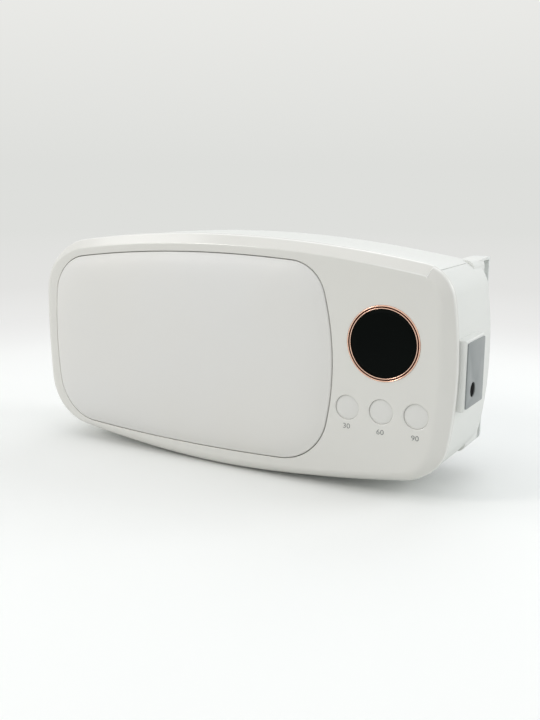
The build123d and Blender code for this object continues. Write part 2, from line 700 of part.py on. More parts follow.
def dc_jack():
    """Power inlet with a stepped bore."""
    body = jack_block()
    body -= along_x(BOSS_FACE - JACK_BORE_LENGTH, JACK_Z, JACK_DEPTH, JACK_BORE_RADIUS, JACK_BORE_LENGTH)
    mouth = BOSS_FACE - JACK_MOUTH_LENGTH
    return body - along_x(mouth, JACK_Z, JACK_DEPTH, JACK_MOUTH_RADIUS, JACK_MOUTH_LENGTH)


def jack_pin():
    """Centre contact of the power inlet."""
    start = BOSS_FACE - JACK_BORE_LENGTH
    pin = along_x(start, JACK_Z, JACK_DEPTH, PIN_RADIUS, PIN_LENGTH)
    return fillet(pin.faces().sort_by(Axis.X)[-1].edges(), PIN_RADIUS / 2)


def socket_plate():
    """Grey plate on the power boss, with a hole over the inlet."""
    side = Plane(origin=(BODY_X + BOSS_FACE, FACE_Y, BODY_Z), x_dir=(0, 1, 0), z_dir=(1, 0, 0))
    middle = Pos(PLATE_FRONT + PLATE_DEPTH / 2, PLATE_Z)
    plate = extrude(side * middle * RectangleRounded(PLATE_DEPTH, PLATE_HEIGHT, PLATE_CORNER), PLATE_WALL)
    return plate - along_x(BOSS_FACE, JACK_Z, JACK_DEPTH, PLATE_HOLE_RADIUS, PLATE_WALL)


def power_lead():
    """Lead from the inlet through the deck to the control board."""
    rear = BOSS_FACE - JACK_LENGTH
    points = [(rear, JACK_DEPTH), (LEAD_X, JACK_DEPTH), (LEAD_X, CONTROL_REAR)]
    level = Plane(origin=(BODY_X, FACE_Y, BODY_Z + JACK_Z))
    path = level * FilletPolyline(*points, radius=LEAD_BEND)
    start = Plane(origin=path @ 0, z_dir=path % 0)
    return sweep(start * Circle(LEAD_RADIUS), path=path)


def foot(side):
    """Hollow end foot, screwed to the deck and open towards the base tray."""
    inner, outer = sorted((side * FOOT_INNER, side * FOOT_OUTER))
    body = block(inner, outer, -FOOT_BOTTOM, FOOT_TOP, FOOT_FRONT, FOOT_REAR)
    body &= slab(tray_outline(), FOOT_FRONT, FOOT_REAR)
    screw_end = FOOT_FRONT + FOOT_WALL
    outside = block(inner, outer, -HALF_HEIGHT, HALF_HEIGHT, FOOT_FRONT, LONG_WALL_DEPTH)
    body -= outside - slab(housing_room().face(), FOOT_FRONT, LONG_WALL_DEPTH)
    body -= housing_shell()
    body -= block(inner + FOOT_WALL, outer - FOOT_WALL, -FOOT_POCKET_HALF, FOOT_POCKET_HALF,
                  FOOT_FRONT + FOOT_WALL, FOOT_REAR)
    for z in (-FOOT_SCREW_Z, FOOT_SCREW_Z):
        body -= disc(side * FOOT_MIDDLE, z, SCREW_RADIUS + SCREW_CLEARANCE, FOOT_FRONT, screw_end)
    for z in (-MAGNET_Z, MAGNET_Z):
        body -= disc(side * FOOT_MIDDLE, z, MAGNET_RADIUS, FOOT_REAR - MAGNET_HEIGHT, FOOT_REAR)
    return body


def foot_screws():
    """Screws through the feet into the housing."""
    grip = FOOT_WALL + SCREW_GRIP - SCREW_END_GAP
    return Compound([
        screw(side * FOOT_MIDDLE, z, FOOT_FRONT + FOOT_WALL, grip)
        for side in (-1, 1) for z in (-FOOT_SCREW_Z, FOOT_SCREW_Z)
    ])


def tray_magnets():
    """Magnets in the feet that hold the base tray."""
    return Compound([
        disc(side * FOOT_MIDDLE, z, MAGNET_RADIUS, FOOT_REAR - MAGNET_HEIGHT, FOOT_REAR)
        for side in (-1, 1) for z in (-MAGNET_Z, MAGNET_Z)
    ])


def tray_end(side):
    """Raised end of the base tray: a set-back core, top and bottom lips and ribs across the slot."""
    core = FOOT_OUTER - TRAY_SLOT_INSET
    low, high = sorted((side * FOOT_INNER, side * core))
    end = block(low, high, -FOOT_BOTTOM, FOOT_TOP, TRAY_FRONT, TRAY_FLANGE)
    low, high = sorted((side * FOOT_INNER, side * FOOT_OUTER))
    end += block(low, high, FOOT_TOP - TRAY_LIP, FOOT_TOP, TRAY_FRONT, TRAY_FLANGE)
    end += block(low, high, -FOOT_BOTTOM, TRAY_LIP - FOOT_BOTTOM, TRAY_FRONT, TRAY_FLANGE)
    low, high = sorted((side * FOOT_INNER, side * (FOOT_OUTER - TRAY_RIB_INSET)))
    for z in TRAY_RIB_Z:
        end += block(low, high, z - TRAY_RIB / 2, z + TRAY_RIB / 2, TRAY_FRONT, TRAY_FLANGE)
    for z in (-MAGNET_Z, MAGNET_Z):
        end -= disc(side * FOOT_MIDDLE, z, MAGNET_RADIUS, TRAY_FRONT, TRAY_FRONT + CATCH_HEIGHT)
    return end


def base_tray():
    """Removable base plate with its two raised ends."""
    tray = slab(tray_outline(), TRAY_FLANGE, TRAY_REAR)
    tray -= block(-FOOT_INNER, FOOT_INNER, TRAY_NOTCH_Z, HALF_HEIGHT, TRAY_FLANGE, TRAY_REAR)
    for side in (-1, 1):
        tray += tray_end(side) & slab(tray_outline(), TRAY_FRONT, TRAY_FLANGE)
    return tray


def catch_discs():
    """Steel discs in the base tray, facing the magnets."""
    return Compound([
        disc(side * FOOT_MIDDLE, z, MAGNET_RADIUS, TRAY_FRONT, TRAY_FRONT + CATCH_HEIGHT)
        for side in (-1, 1) for z in (-MAGNET_Z, MAGNET_Z)
    ])


def rubber_feet():
    """Four round rubber feet on the base tray."""
    across = HALF_LENGTH - PAD_FOOT_END_INSET
    up = HALF_HEIGHT - PAD_FOOT_LONG_INSET
    return Compound([
        disc(x, z, PAD_FOOT_RADIUS, TRAY_REAR, TRAY_REAR + PAD_FOOT_HEIGHT)
        for x in (-across, across) for z in (-up, up)
    ])


def pieces():
    """Every node's name and solid."""
    nodes = {
        "top_cover": top_cover(),
        "hand_pad": hand_pad(),
        "pad_board": pad_board(),
        "display_ring": display_ring(),
        "display_lens": display_lens(),
        "display_module": display_module(),
        "switch_bodies": switch_bodies(),
        "control_board": control_board(),
        "board_screws": board_screws(),
        "housing": housing(),
        "case_screws": case_screws(),
        "led_board": led_board(),
        "led_beads": led_beads(),
        "led_screws": led_screws(),
        "reflector": reflector(),
        "hand_sensor": sensor_block(),
        "ribbon_cable": ribbon_cable(),
        "cable_connectors": cable_connectors(),
        "dc_jack": dc_jack(),
        "jack_pin": jack_pin(),
        "socket_plate": socket_plate(),
        "power_lead": power_lead(),
        "foot_left": foot(-1),
        "foot_right": foot(1),
        "foot_screws": foot_screws(),
        "tray_magnets": tray_magnets(),
        "base_tray": base_tray(),
        "catch_discs": catch_discs(),
        "rubber_feet": rubber_feet(),
    }
    for seconds, x in zip(BUTTON_TIMES, BUTTON_PLACES):
        nodes[f"button_{seconds}"] = button(x)
        nodes[f"switch_plunger_{seconds}"] = switch_plunger(x)
    return nodes


def main():
    """Write one STEP file for each node."""
    os.makedirs("parts", exist_ok=True)
    for name, solid in pieces().items():
        export_step(solid, f"parts/{name}.step")
        print(name, round(solid.volume), "mm3")


if __name__ == "__main__":
    main()
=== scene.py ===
import json
import logging
import math
from collections.abc import Callable, Iterable, Sequence
from dataclasses import dataclass, field
from enum import Enum

import bmesh
import bpy
from mathutils import Matrix, Vector
from mathutils.geometry import delaunay_2d_cdt

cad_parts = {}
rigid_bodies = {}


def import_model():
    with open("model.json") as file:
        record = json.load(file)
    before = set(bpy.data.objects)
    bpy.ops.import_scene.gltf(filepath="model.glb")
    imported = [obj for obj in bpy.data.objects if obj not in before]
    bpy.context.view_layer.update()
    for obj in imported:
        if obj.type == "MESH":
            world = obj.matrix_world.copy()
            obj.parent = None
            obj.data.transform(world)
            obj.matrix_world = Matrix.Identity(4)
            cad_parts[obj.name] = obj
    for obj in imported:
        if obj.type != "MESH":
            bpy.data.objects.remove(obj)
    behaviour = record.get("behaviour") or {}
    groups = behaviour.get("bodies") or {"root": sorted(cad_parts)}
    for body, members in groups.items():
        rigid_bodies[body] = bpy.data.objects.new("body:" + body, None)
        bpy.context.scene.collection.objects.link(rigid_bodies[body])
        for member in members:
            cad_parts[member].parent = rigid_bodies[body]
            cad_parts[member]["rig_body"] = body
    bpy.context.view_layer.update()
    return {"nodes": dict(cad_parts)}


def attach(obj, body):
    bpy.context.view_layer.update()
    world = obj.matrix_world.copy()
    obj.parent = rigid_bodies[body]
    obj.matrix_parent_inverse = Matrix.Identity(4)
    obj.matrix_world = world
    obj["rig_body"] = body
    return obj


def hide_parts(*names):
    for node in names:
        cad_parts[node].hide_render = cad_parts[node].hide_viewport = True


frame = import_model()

# A nail lamp on its long edge. Sizes are in millimetres as in the part: x to the right of the body's
# middle, z above it, depth behind the middle of the control face. The function at() turns a place
# into metres in the shared frame.

MM_PER_M = 1000.0
BODY_X = -1.7
BODY_Z = 61.3
FACE_Y = -34.5
FACE_BOW_RADIUS = 2420.0
FACE_WALL = 2.4
RIM_WALL = 4.2
RIM_DEPTH = 7.192
# Angles in degrees: faces that meet flatter than the first are one face, an edge sharper than the second
# is broken by the mould, and one sharper than the third is shaded crisp.
FLAT_ANGLE = 0.4
EDGE_ANGLE = 38.0
CRISP_ANGLE = 35.0
# Sockets of the mix node when it mixes colours.
MIX_SHARE = 0
MIX_FIRST = 6
MIX_SECOND = 7
MIX_RESULT = 2
MATHS = "ShaderNodeMath"
SOCKETS = {int: "NodeSocketInt", float: "NodeSocketFloat", tuple: "NodeSocketVector"}
log = logging.getLogger("nail_lamp")

Flat = tuple[float, float]
Place = tuple[float, float, float]


def at(x: float, depth: float, z: float) -> Vector:
    """Place on the lamp, in metres in the shared frame."""
    return Vector((x + BODY_X, depth + FACE_Y, z + BODY_Z)) / MM_PER_M


def bow_depth(x: float) -> float:
    """How far the bowed control face lies behind its middle at x."""
    return FACE_BOW_RADIUS - math.sqrt(FACE_BOW_RADIUS**2 - x**2)


def ramp(value: float, start: float = 0.0, length: float = 1.0) -> float:
    """Smooth step of a value, from 0 at start to 1 a length further on."""
    share = min(max((value - start) / length, 0.0), 1.0)
    return share * share * (3 - 2 * share)


def mix(first: float, second: float, share: float) -> float:
    """Value between two others."""
    return first + (second - first) * share


def linear(colour: str) -> tuple[float, float, float, float]:
    """Turn an sRGB hex colour into linear values.

    Args:
        colour: six hex digits with a leading hash.

    Returns:
        Linear red, green, blue and an alpha of one.
    """
    values = [int(colour[k:k + 2], 16) / 255 for k in (1, 3, 5)]
    bent = [v / 12.92 if v <= 0.04045 else ((v + 0.055) / 1.055) ** 2.4 for v in values]
    return (bent[0], bent[1], bent[2], 1.0)


def feed(tree: bpy.types.NodeTree, node: bpy.types.Node, inputs: dict) -> None:
    """Set or link a node's inputs.

    Args:
        tree: node tree that holds the node.
        node: the node.
        inputs: socket name or number to a value, to the output socket that feeds it, or to the node
            whose first output feeds it.
    """
    for name, value in inputs.items():
        if isinstance(value, bpy.types.Node):
            value = value.outputs[0]
        if isinstance(value, bpy.types.NodeSocket):
            tree.links.new(value, node.inputs[name])
        else:
            node.inputs[name].default_value = value


def add_node(tree: bpy.types.NodeTree, kind: str, inputs: dict | None = None, **settings) -> bpy.types.Node:
    """Add one node with its settings and links.

    Args:
        tree: node tree that gets the node.
        kind: type name of the node.
        inputs: socket name or number to a value, to the output socket that feeds it, or to the node
            whose first output feeds it.
        settings: properties of the node.

    Returns:
        The new node.
    """
    made = tree.nodes.new(kind)
    for name, value in settings.items():
        setattr(made, name, value)
    feed(tree, made, inputs or {})
    return made


class Finish:
    """Something that can make a material."""

    name: str

    def build(self) -> bpy.types.Material:
        """Make the material the first time and hand out the same one after that.

        Returns:
            The material.
        """
        known = bpy.data.materials.get(self.name)
        if known:
            return known
        material = bpy.data.materials.new(self.name)
        material.use_nodes = True
        tree = material.node_tree
        tree.nodes.clear()
        shader = add_node(tree, "ShaderNodeBsdfPrincipled")
        add_node(tree, "ShaderNodeOutputMaterial", {"Surface": shader.outputs[0]})
        self.dress(tree, shader)
        return material

    def dress(self, tree: bpy.types.NodeTree, shader: bpy.types.Node) -> None:
        """Fill the tree around its shader."""
        raise NotImplementedError


@dataclass(frozen=True)
class Moulded(Finish):
    """Injection-moulded plastic: a cloudy tone, an uneven gloss and the tool's fine grain."""

    name: str
    colour: str
    cloud: str
    roughness: float = 0.32
    gloss_spread: float = 0.05
    cloud_mm: float = 60.0
    # A tool's grain is about 0.05 mm. It is drawn ten times as coarse, so that it shows.
    grain_mm: float = 0.5
    grain_height_mm: float = 0.004
    ior: float = 1.49
    coat: float = 0.0
    coat_roughness: float = 0.08
    glow: float = 0.0
    glow_reach: Place = (0.004, 0.004, 0.0035)
    glow_scale: float = 0.5
    # Near-white colour of a painted highlight along edges, mixed in by a point attribute of the mesh.
    worn: str = ""

    def dress(self, tree: bpy.types.NodeTree, shader: bpy.types.Node) -> None:
        """Fill the tree around its shader.

        Args:
            tree: the material's tree.
            shader: its shader.
        """
        place = add_node(tree, "ShaderNodeTexCoord").outputs["Object"]
        cloud = add_node(tree, "ShaderNodeTexNoise", {
            "Vector": place, "Scale": MM_PER_M / self.cloud_mm, "Detail": 2.0, "Roughness": 0.45})
        tone = add_node(tree, "ShaderNodeMix", {
            MIX_SHARE: cloud.outputs["Fac"], MIX_FIRST: linear(self.colour),
            MIX_SECOND: linear(self.cloud)}, data_type="RGBA")
        # Painted highlight: a point attribute lightens the tone towards the near-white colour along edges
        # that would catch the light.
        if self.worn:
            polish = add_node(tree, "ShaderNodeAttribute", attribute_name="painted_edge_glint")
            tone = add_node(tree, "ShaderNodeMix", {
                MIX_SHARE: polish.outputs["Fac"], MIX_FIRST: tone.outputs[MIX_RESULT],
                MIX_SECOND: linear(self.worn)}, data_type="RGBA")
        patch = add_node(tree, "ShaderNodeTexNoise", {
            "Vector": place, "Scale": 2.5 * MM_PER_M / self.cloud_mm, "Detail": 1.0, "Roughness": 0.4})
        gloss = add_node(tree, "ShaderNodeMapRange", {
            "Value": patch.outputs["Fac"], "From Min": 0.2, "From Max": 0.8,
            "To Min": self.roughness - self.gloss_spread, "To Max": self.roughness + self.gloss_spread})
        grain = add_node(tree, "ShaderNodeTexNoise", {
            "Vector": place, "Scale": MM_PER_M / self.grain_mm, "Detail": 2.0, "Roughness": 0.5})
        bump = add_node(tree, "ShaderNodeBump", {
            "Height": grain.outputs["Fac"], "Strength": 1.0, "Distance": self.grain_height_mm / MM_PER_M})
        feed(tree, shader, {
            "Base Color": tone.outputs[MIX_RESULT], "Roughness": gloss.outputs["Result"],
            "Normal": bump.outputs["Normal"], "IOR": self.ior, "Coat Weight": self.coat,
            "Coat Roughness": self.coat_roughness})
        if self.glow:
            feed(tree, shader, {"Subsurface Weight": self.glow, "Subsurface Radius": self.glow_reach,
                                "Subsurface Scale": self.glow_scale})


@dataclass(frozen=True)
class Metal(Finish):
    """Plated or drawn metal: its own colour, and hairlines or a faint orange peel in the gloss."""

    name: str
    colour: str
    stain: str
    roughness: float = 0.2
    gloss_spread: float = 0.06
    stain_mm: float = 25 / 3
    # Drawn and turned lines are a few hundredths of a millimetre apart. They are drawn ten times as
    # coarse, so that they show.
    line_mm: float = 0.4
    stretch: Place = (1.0, 1.0, 1.0)
    height_mm: float = 0.003

    def dress(self, tree: bpy.types.NodeTree, shader: bpy.types.Node) -> None:
        """Fill the tree around its shader.

        Args:
            tree: the material's tree.
            shader: its shader.
        """
        place = add_node(tree, "ShaderNodeTexCoord").outputs["Object"]
        drawn = add_node(tree, "ShaderNodeMapping", {"Vector": place, "Scale": self.stretch})
        lines = add_node(tree, "ShaderNodeTexNoise", {
            "Vector": drawn.outputs[0], "Scale": MM_PER_M / self.line_mm, "Detail": 3.0})
        stain = add_node(tree, "ShaderNodeTexNoise", {
            "Vector": place, "Scale": MM_PER_M / self.stain_mm, "Detail": 2.0})
        tone = add_node(tree, "ShaderNodeMix", {
            MIX_SHARE: stain.outputs["Fac"], MIX_FIRST: linear(self.colour),
            MIX_SECOND: linear(self.stain)}, data_type="RGBA")
        gloss = add_node(tree, "ShaderNodeMapRange", {
            "Value": lines.outputs["Fac"], "From Min": 0.3, "From Max": 0.7,
            "To Min": self.roughness - self.gloss_spread, "To Max": self.roughness + self.gloss_spread})
        bump = add_node(tree, "ShaderNodeBump", {
            "Height": lines.outputs["Fac"], "Strength": 1.0, "Distance": self.height_mm / MM_PER_M})
        feed(tree, shader, {
            "Base Color": tone.outputs[MIX_RESULT], "Roughness": gloss.outputs["Result"],
            "Normal": bump.outputs["Normal"], "Metallic": 1.0})


@dataclass(frozen=True)
class Plated(Finish):
    """Bright plating on a round trim piece, with a dark painted shade in the groove between its two lines.
    """

    name: str
    colour: str
    lacquer: str
    middle: Flat
    groove: Flat
    roughness: float = 0.2
    blend_mm: float = 0.12
    peel_mm: float = 10 / 9
    peel_height_mm: float = 0.0015
    smoother: float = 0.03
    rougher: float = 0.05

    def dress(self, tree: bpy.types.NodeTree, shader: bpy.types.Node) -> None:
        """Fill the tree around its shader.

        Args:
            tree: the material's tree.
            shader: its shader.
        """
        place = add_node(tree, "ShaderNodeTexCoord").outputs["Object"]
        axis = at(self.middle[0], 0.0, self.middle[1])
        moved = add_node(tree, "ShaderNodeVectorMath", {0: place, 1: axis}, operation="SUBTRACT")
        flat = add_node(tree, "ShaderNodeVectorMath", {
            0: moved.outputs[0], 1: (MM_PER_M, 0.0, MM_PER_M)}, operation="MULTIPLY")
        reach = add_node(tree, "ShaderNodeVectorMath", {0: flat.outputs[0]}, operation="LENGTH")
        first, last = self.groove
        entry = add_node(tree, "ShaderNodeMapRange", {
            "Value": reach.outputs["Value"], "From Min": first - self.blend_mm, "From Max": first},
            interpolation_type="SMOOTHSTEP")
        leave = add_node(tree, "ShaderNodeMapRange", {
            "Value": reach.outputs["Value"], "From Min": last, "From Max": last + self.blend_mm,
            "To Min": 1.0, "To Max": 0.0}, interpolation_type="SMOOTHSTEP")
        dark = add_node(tree, "ShaderNodeMath", {0: entry.outputs[0], 1: leave.outputs[0]},
                        operation="MULTIPLY")
        # Painted shade: the groove between the two raised lines gets the dark colour.
        tone = add_node(tree, "ShaderNodeMix", {
            MIX_SHARE: dark.outputs[0], MIX_FIRST: linear(self.colour),
            MIX_SECOND: linear(self.lacquer)}, data_type="RGBA")
        peel = add_node(tree, "ShaderNodeTexNoise", {
            "Vector": place, "Scale": MM_PER_M / self.peel_mm, "Detail": 2.0})
        gloss = add_node(tree, "ShaderNodeMapRange", {
            "Value": peel.outputs["Fac"], "To Min": self.roughness - self.smoother,
            "To Max": self.roughness + self.rougher})
        bump = add_node(tree, "ShaderNodeBump", {
            "Height": peel.outputs["Fac"], "Strength": 1.0, "Distance": self.peel_height_mm / MM_PER_M})
        feed(tree, shader, {
            "Base Color": tone.outputs[MIX_RESULT], "Roughness": gloss.outputs["Result"],
            "Normal": bump.outputs["Normal"], "Metallic": 1.0})


@dataclass(frozen=True)
class Laminate(Finish):
    """Etched circuit board: solder mask over copper tracks, with pads where the mask is open."""

    name: str
    mask: str
    track: str
    pad: str
    pitch_mm: float = 5.0
    track_share: float = 0.05
    pad_share: float = 0.13
    relief_mm: float = 0.04
    roughness: float = 0.38

    def dress(self, tree: bpy.types.NodeTree, shader: bpy.types.Node) -> None:
        """Fill the tree around its shader.

        Args:
            tree: the material's tree.
            shader: its shader.
        """
        place = add_node(tree, "ShaderNodeTexCoord").outputs["Object"]
        turned = add_node(tree, "ShaderNodeMapping", {"Vector": place, "Rotation": (math.pi / 2, 0, 0)})
        tracks = add_node(tree, "ShaderNodeTexBrick", {
            "Vector": turned.outputs[0], "Scale": MM_PER_M / self.pitch_mm, "Mortar Size": self.track_share,
            "Brick Width": 1.7, "Row Height": 0.6, "Color1": linear(self.mask),
            "Color2": linear(self.mask), "Mortar": linear(self.track)})
        spots = add_node(tree, "ShaderNodeTexVoronoi", {
            "Vector": turned.outputs[0], "Scale": MM_PER_M / self.pitch_mm, "Randomness": 0.55})
        dot = add_node(tree, "ShaderNodeMath", {0: spots.outputs["Distance"], 1: self.pad_share},
                       operation="LESS_THAN")
        tone = add_node(tree, "ShaderNodeMix", {
            MIX_SHARE: dot.outputs[0], MIX_FIRST: tracks.outputs["Color"],
            MIX_SECOND: linear(self.pad)}, data_type="RGBA")
        bump = add_node(tree, "ShaderNodeBump", {
            "Height": tracks.outputs["Fac"], "Strength": 1.0, "Distance": self.relief_mm / MM_PER_M})
        feed(tree, shader, {"Base Color": tone.outputs[MIX_RESULT], "Normal": bump.outputs["Normal"],
                            "Roughness": self.roughness})


@dataclass(frozen=True)
class Banded(Finish):
    """Flat cable: insulated wires lie side by side, so the film is ribbed across its width."""

    name: str
    colour: str
    groove: str
    # The wires lie 1.27 mm apart. One wave is drawn over six of them, so that it shows.
    pitch_mm: float = 1.27
    waves_per_unit: float = 20.0
    rib_mm: float = 0.2
    roughness: float = 0.45

    def dress(self, tree: bpy.types.NodeTree, shader: bpy.types.Node) -> None:
        """Fill the tree around its shader.

        Args:
            tree: the material's tree.
            shader: its shader.
        """
        place = add_node(tree, "ShaderNodeTexCoord").outputs["Object"]
        wave = add_node(tree, "ShaderNodeTexWave", {
            "Vector": place, "Scale": MM_PER_M / self.pitch_mm / self.waves_per_unit, "Distortion": 0.0},
            wave_type="BANDS", bands_direction="Z", wave_profile="SIN")
        # Painted shade: the tone darkens to the groove colour where the bump is low, between the wires.
        tone = add_node(tree, "ShaderNodeMix", {
            MIX_SHARE: wave.outputs["Fac"], MIX_FIRST: linear(self.groove),
            MIX_SECOND: linear(self.colour)}, data_type="RGBA")
        bump = add_node(tree, "ShaderNodeBump", {
            "Height": wave.outputs["Fac"], "Strength": 1.0, "Distance": self.rib_mm / MM_PER_M})
        feed(tree, shader, {"Base Color": tone.outputs[MIX_RESULT], "Normal": bump.outputs["Normal"],
                            "Roughness": self.roughness})


@dataclass(frozen=True)
class Finishes:
    """Every finish on the lamp."""

    # Glossy moulded ABS: a warm off-white shell whose gloss lies over a very faint mould grain. Its edges
    # are painted lighter towards white, a painted highlight where they would catch the light.
    cover: Moulded = Moulded("moulded_abs_off_white", "#E3E2DC", "#E0DFDA", roughness=0.3,
                             gloss_spread=0.015, grain_mm=0.7, grain_height_mm=0.0012, coat=0.6,
                             coat_roughness=0.14, worn="#FDFDFA")
    # Soft-touch silicone pad: matt, a shade cooler than the shell, with a fine moulded tooth.
    pad: Moulded = Moulded("moulded_silicone_pad", "#E6E6E5", "#E6E4DE", roughness=0.5, gloss_spread=0.02,
                           cloud_mm=80.0, grain_mm=0.6, grain_height_mm=0.004, ior=1.41)
    # Moulded ABS of the housing, satin: the tool is eroded a little coarser than the cover's.
    housing: Moulded = Moulded("moulded_abs_satin", "#E7E8E4", "#E3E5E1", roughness=0.42, grain_mm=0.6,
                               grain_height_mm=0.003)
    # Moulded ABS feet: the same white a touch matter, as on the surfaces that are handled.
    foot: Moulded = Moulded("moulded_abs_feet", "#E8E9E5", "#E4E5E1", roughness=0.45, grain_mm=0.6,
                            grain_height_mm=0.003)
    # Moulded ABS tray: like the feet, with a slightly cooler cloud.
    tray: Moulded = Moulded("moulded_abs_tray", "#E6E8E5", "#E1E4E2", roughness=0.45, grain_mm=0.6,
                            grain_height_mm=0.003)
    # Push caps of the cover's ABS, polished on top, in a white a hair cooler than the cover's.
    button: Moulded = Moulded("moulded_abs_push_cap", "#E3E3DF", "#E2E1DD", roughness=0.3,
                              gloss_spread=0.005, grain_mm=0.6, grain_height_mm=0.001, cloud_mm=40.0)
    # Unpainted carrier plate: plain natural ABS with visible flow clouds.
    carrier: Moulded = Moulded("moulded_abs_natural", "#D9D8CE", "#CFCEC3", roughness=0.5, cloud_mm=25.0)
    # High-reflectance polycarbonate liner: bright white, low sheen, diffuses the light.
    reflector: Moulded = Moulded("moulded_polycarbonate_liner", "#F0F1EF", "#EBEDEC", roughness=0.55,
                                 grain_mm=0.8, grain_height_mm=0.004, ior=1.58)
    # Tinted acrylic window: near black and mirror smooth, with the slightest waviness. It is coated
    # against glare and mirrors little, so its IOR lies under that of plain acrylic.
    lens: Moulded = Moulded("cast_acrylic_window", "#040706", "#060A08", roughness=0.06, gloss_spread=0.02,
                            cloud_mm=30.0, grain_mm=6.0, grain_height_mm=0.002, ior=1.13)
    # Digit module: black potted plastic with a dull face.
    module: Moulded = Moulded("potted_digit_module", "#202321", "#2A2D2A", roughness=0.55, cloud_mm=8.0)
    # Tact switch body: black glass-filled nylon, slightly grainy.
    switch: Moulded = Moulded("moulded_nylon_switch", "#1B1C1D", "#26282A", roughness=0.5, cloud_mm=6.0,
                              grain_mm=0.4, grain_height_mm=0.006)
    # Switch plunger: acetal, waxy and slightly translucent.
    plunger: Moulded = Moulded("moulded_acetal_plunger", "#E3E1D8", "#DCD9CE", roughness=0.35, cloud_mm=5.0,
                               glow=0.15)
    # Connector shell: cream nylon, matt.
    connector: Moulded = Moulded("moulded_nylon_connector", "#E9E3CF", "#DED6BE", roughness=0.5,
                                 cloud_mm=6.0)
    # Power inlet body: black PBT with a matt eroded face.
    jack: Moulded = Moulded("moulded_pbt_inlet", "#171819", "#202224", roughness=0.42, cloud_mm=5.0,
                            grain_mm=0.4, grain_height_mm=0.006)
    # Plate: painted grey polycarbonate film with a leathery tooth.
    plate: Moulded = Moulded("screen_printed_film_grey", "#969A9A", "#8F9494", roughness=0.42,
                             cloud_mm=14.0, grain_mm=0.5, grain_height_mm=0.006)
    # Lead: black PVC, supple and slightly shiny.
    lead: Moulded = Moulded("extruded_pvc_lead", "#1D1D1E", "#28282A", roughness=0.36, cloud_mm=10.0)
    # Rubber feet: dark EPDM with bloom that greys the black in patches.
    rubber: Moulded = Moulded("moulded_rubber_feet", "#2C2D2E", "#3D3E3E", roughness=0.72, cloud_mm=6.0,
                              grain_mm=0.5, grain_height_mm=0.02)
    # Light capsules: clear silicone over a yellow phosphor, soft and warm.
    led: Moulded = Moulded("dispensed_silicone_lens", "#EBDD9B", "#F2EBC8", roughness=0.12, cloud_mm=3.0,
                           ior=1.41, coat=0.6, coat_roughness=0.05, glow=0.3)
    # Hand sensor: dark violet epoxy that passes infrared only.
    sensor: Moulded = Moulded("cast_epoxy_infrared", "#1A1420", "#241B2C", roughness=0.12, cloud_mm=4.0)
    # Screen-printed ink of the numbers: grey, thin and dead matt with uneven coverage.
    ink: Moulded = Moulded("screen_printed_ink", "#7E807E", "#8C8E8B", roughness=0.6, cloud_mm=2.0)
    # Rose gold plating on the trim ring: warm and mirror-like, with a dark painted shade in its groove.
    ring: Plated = Plated("rose_gold_plating", "#F3CDB8", "#6B3C2A", (89.2, 14.5), (16.98, 17.48))
    # Zinc-plated steel screws: bright grey with a bluish cast and a fine turned line.
    steel: Metal = Metal("zinc_plated_steel", "#B9BDC1", "#A7ABB2", roughness=0.3, line_mm=0.3)
    # Nickel-plated brass pin: bright and a little warm.
    pin: Metal = Metal("nickel_plated_brass", "#D6CFC0", "#C8C0AE", roughness=0.2, line_mm=0.3,
                       stretch=(0.1, 1.0, 1.0))
    # Nickel-plated magnets: mirror bright with faint stains.
    magnet: Metal = Metal("nickel_plated_magnet", "#C9C8C4", "#B5B3AE", roughness=0.18)
    # Mild steel discs: rolled, with hairlines one way.
    disc: Metal = Metal("rolled_mild_steel", "#A9ABAD", "#9B9D9F", roughness=0.34, line_mm=0.3,
                        stretch=(0.08, 1.0, 1.0))
    # Glass-epoxy control board: green mask, with tracks that show through it as lighter ridges.
    board: Laminate = Laminate("etched_laminate_green", "#1E5B3A", "#2F7A4E", "#C9B17A")
    # White lamp board, as used under lights: the mask is white and the tracks show as faint ridges.
    lamp_board: Laminate = Laminate("etched_laminate_white", "#E9EAE6", "#DADCD6", "#CFC9B4", pitch_mm=8.0)
    # PVC flat cable: light grey, with painted shade darkening the grooves between its wires.
    ribbon: Banded = Banded("extruded_flat_cable", "#B9BCBE", "#8D9194")


FINISHES = Finishes()


@dataclass(frozen=True)
class Role:
    """What a finished piece is.

    It has a name, a finish, the body of the part that it moves with, its material slot and the nodes of
    the part that it stands for. Edges that bend more than sharp, in degrees, stay crisp.
    """

    name: str
    finish: Finish
    body: str
    slot: str
    replaces: tuple[str, ...] = ()
    sharp: float = 40.0


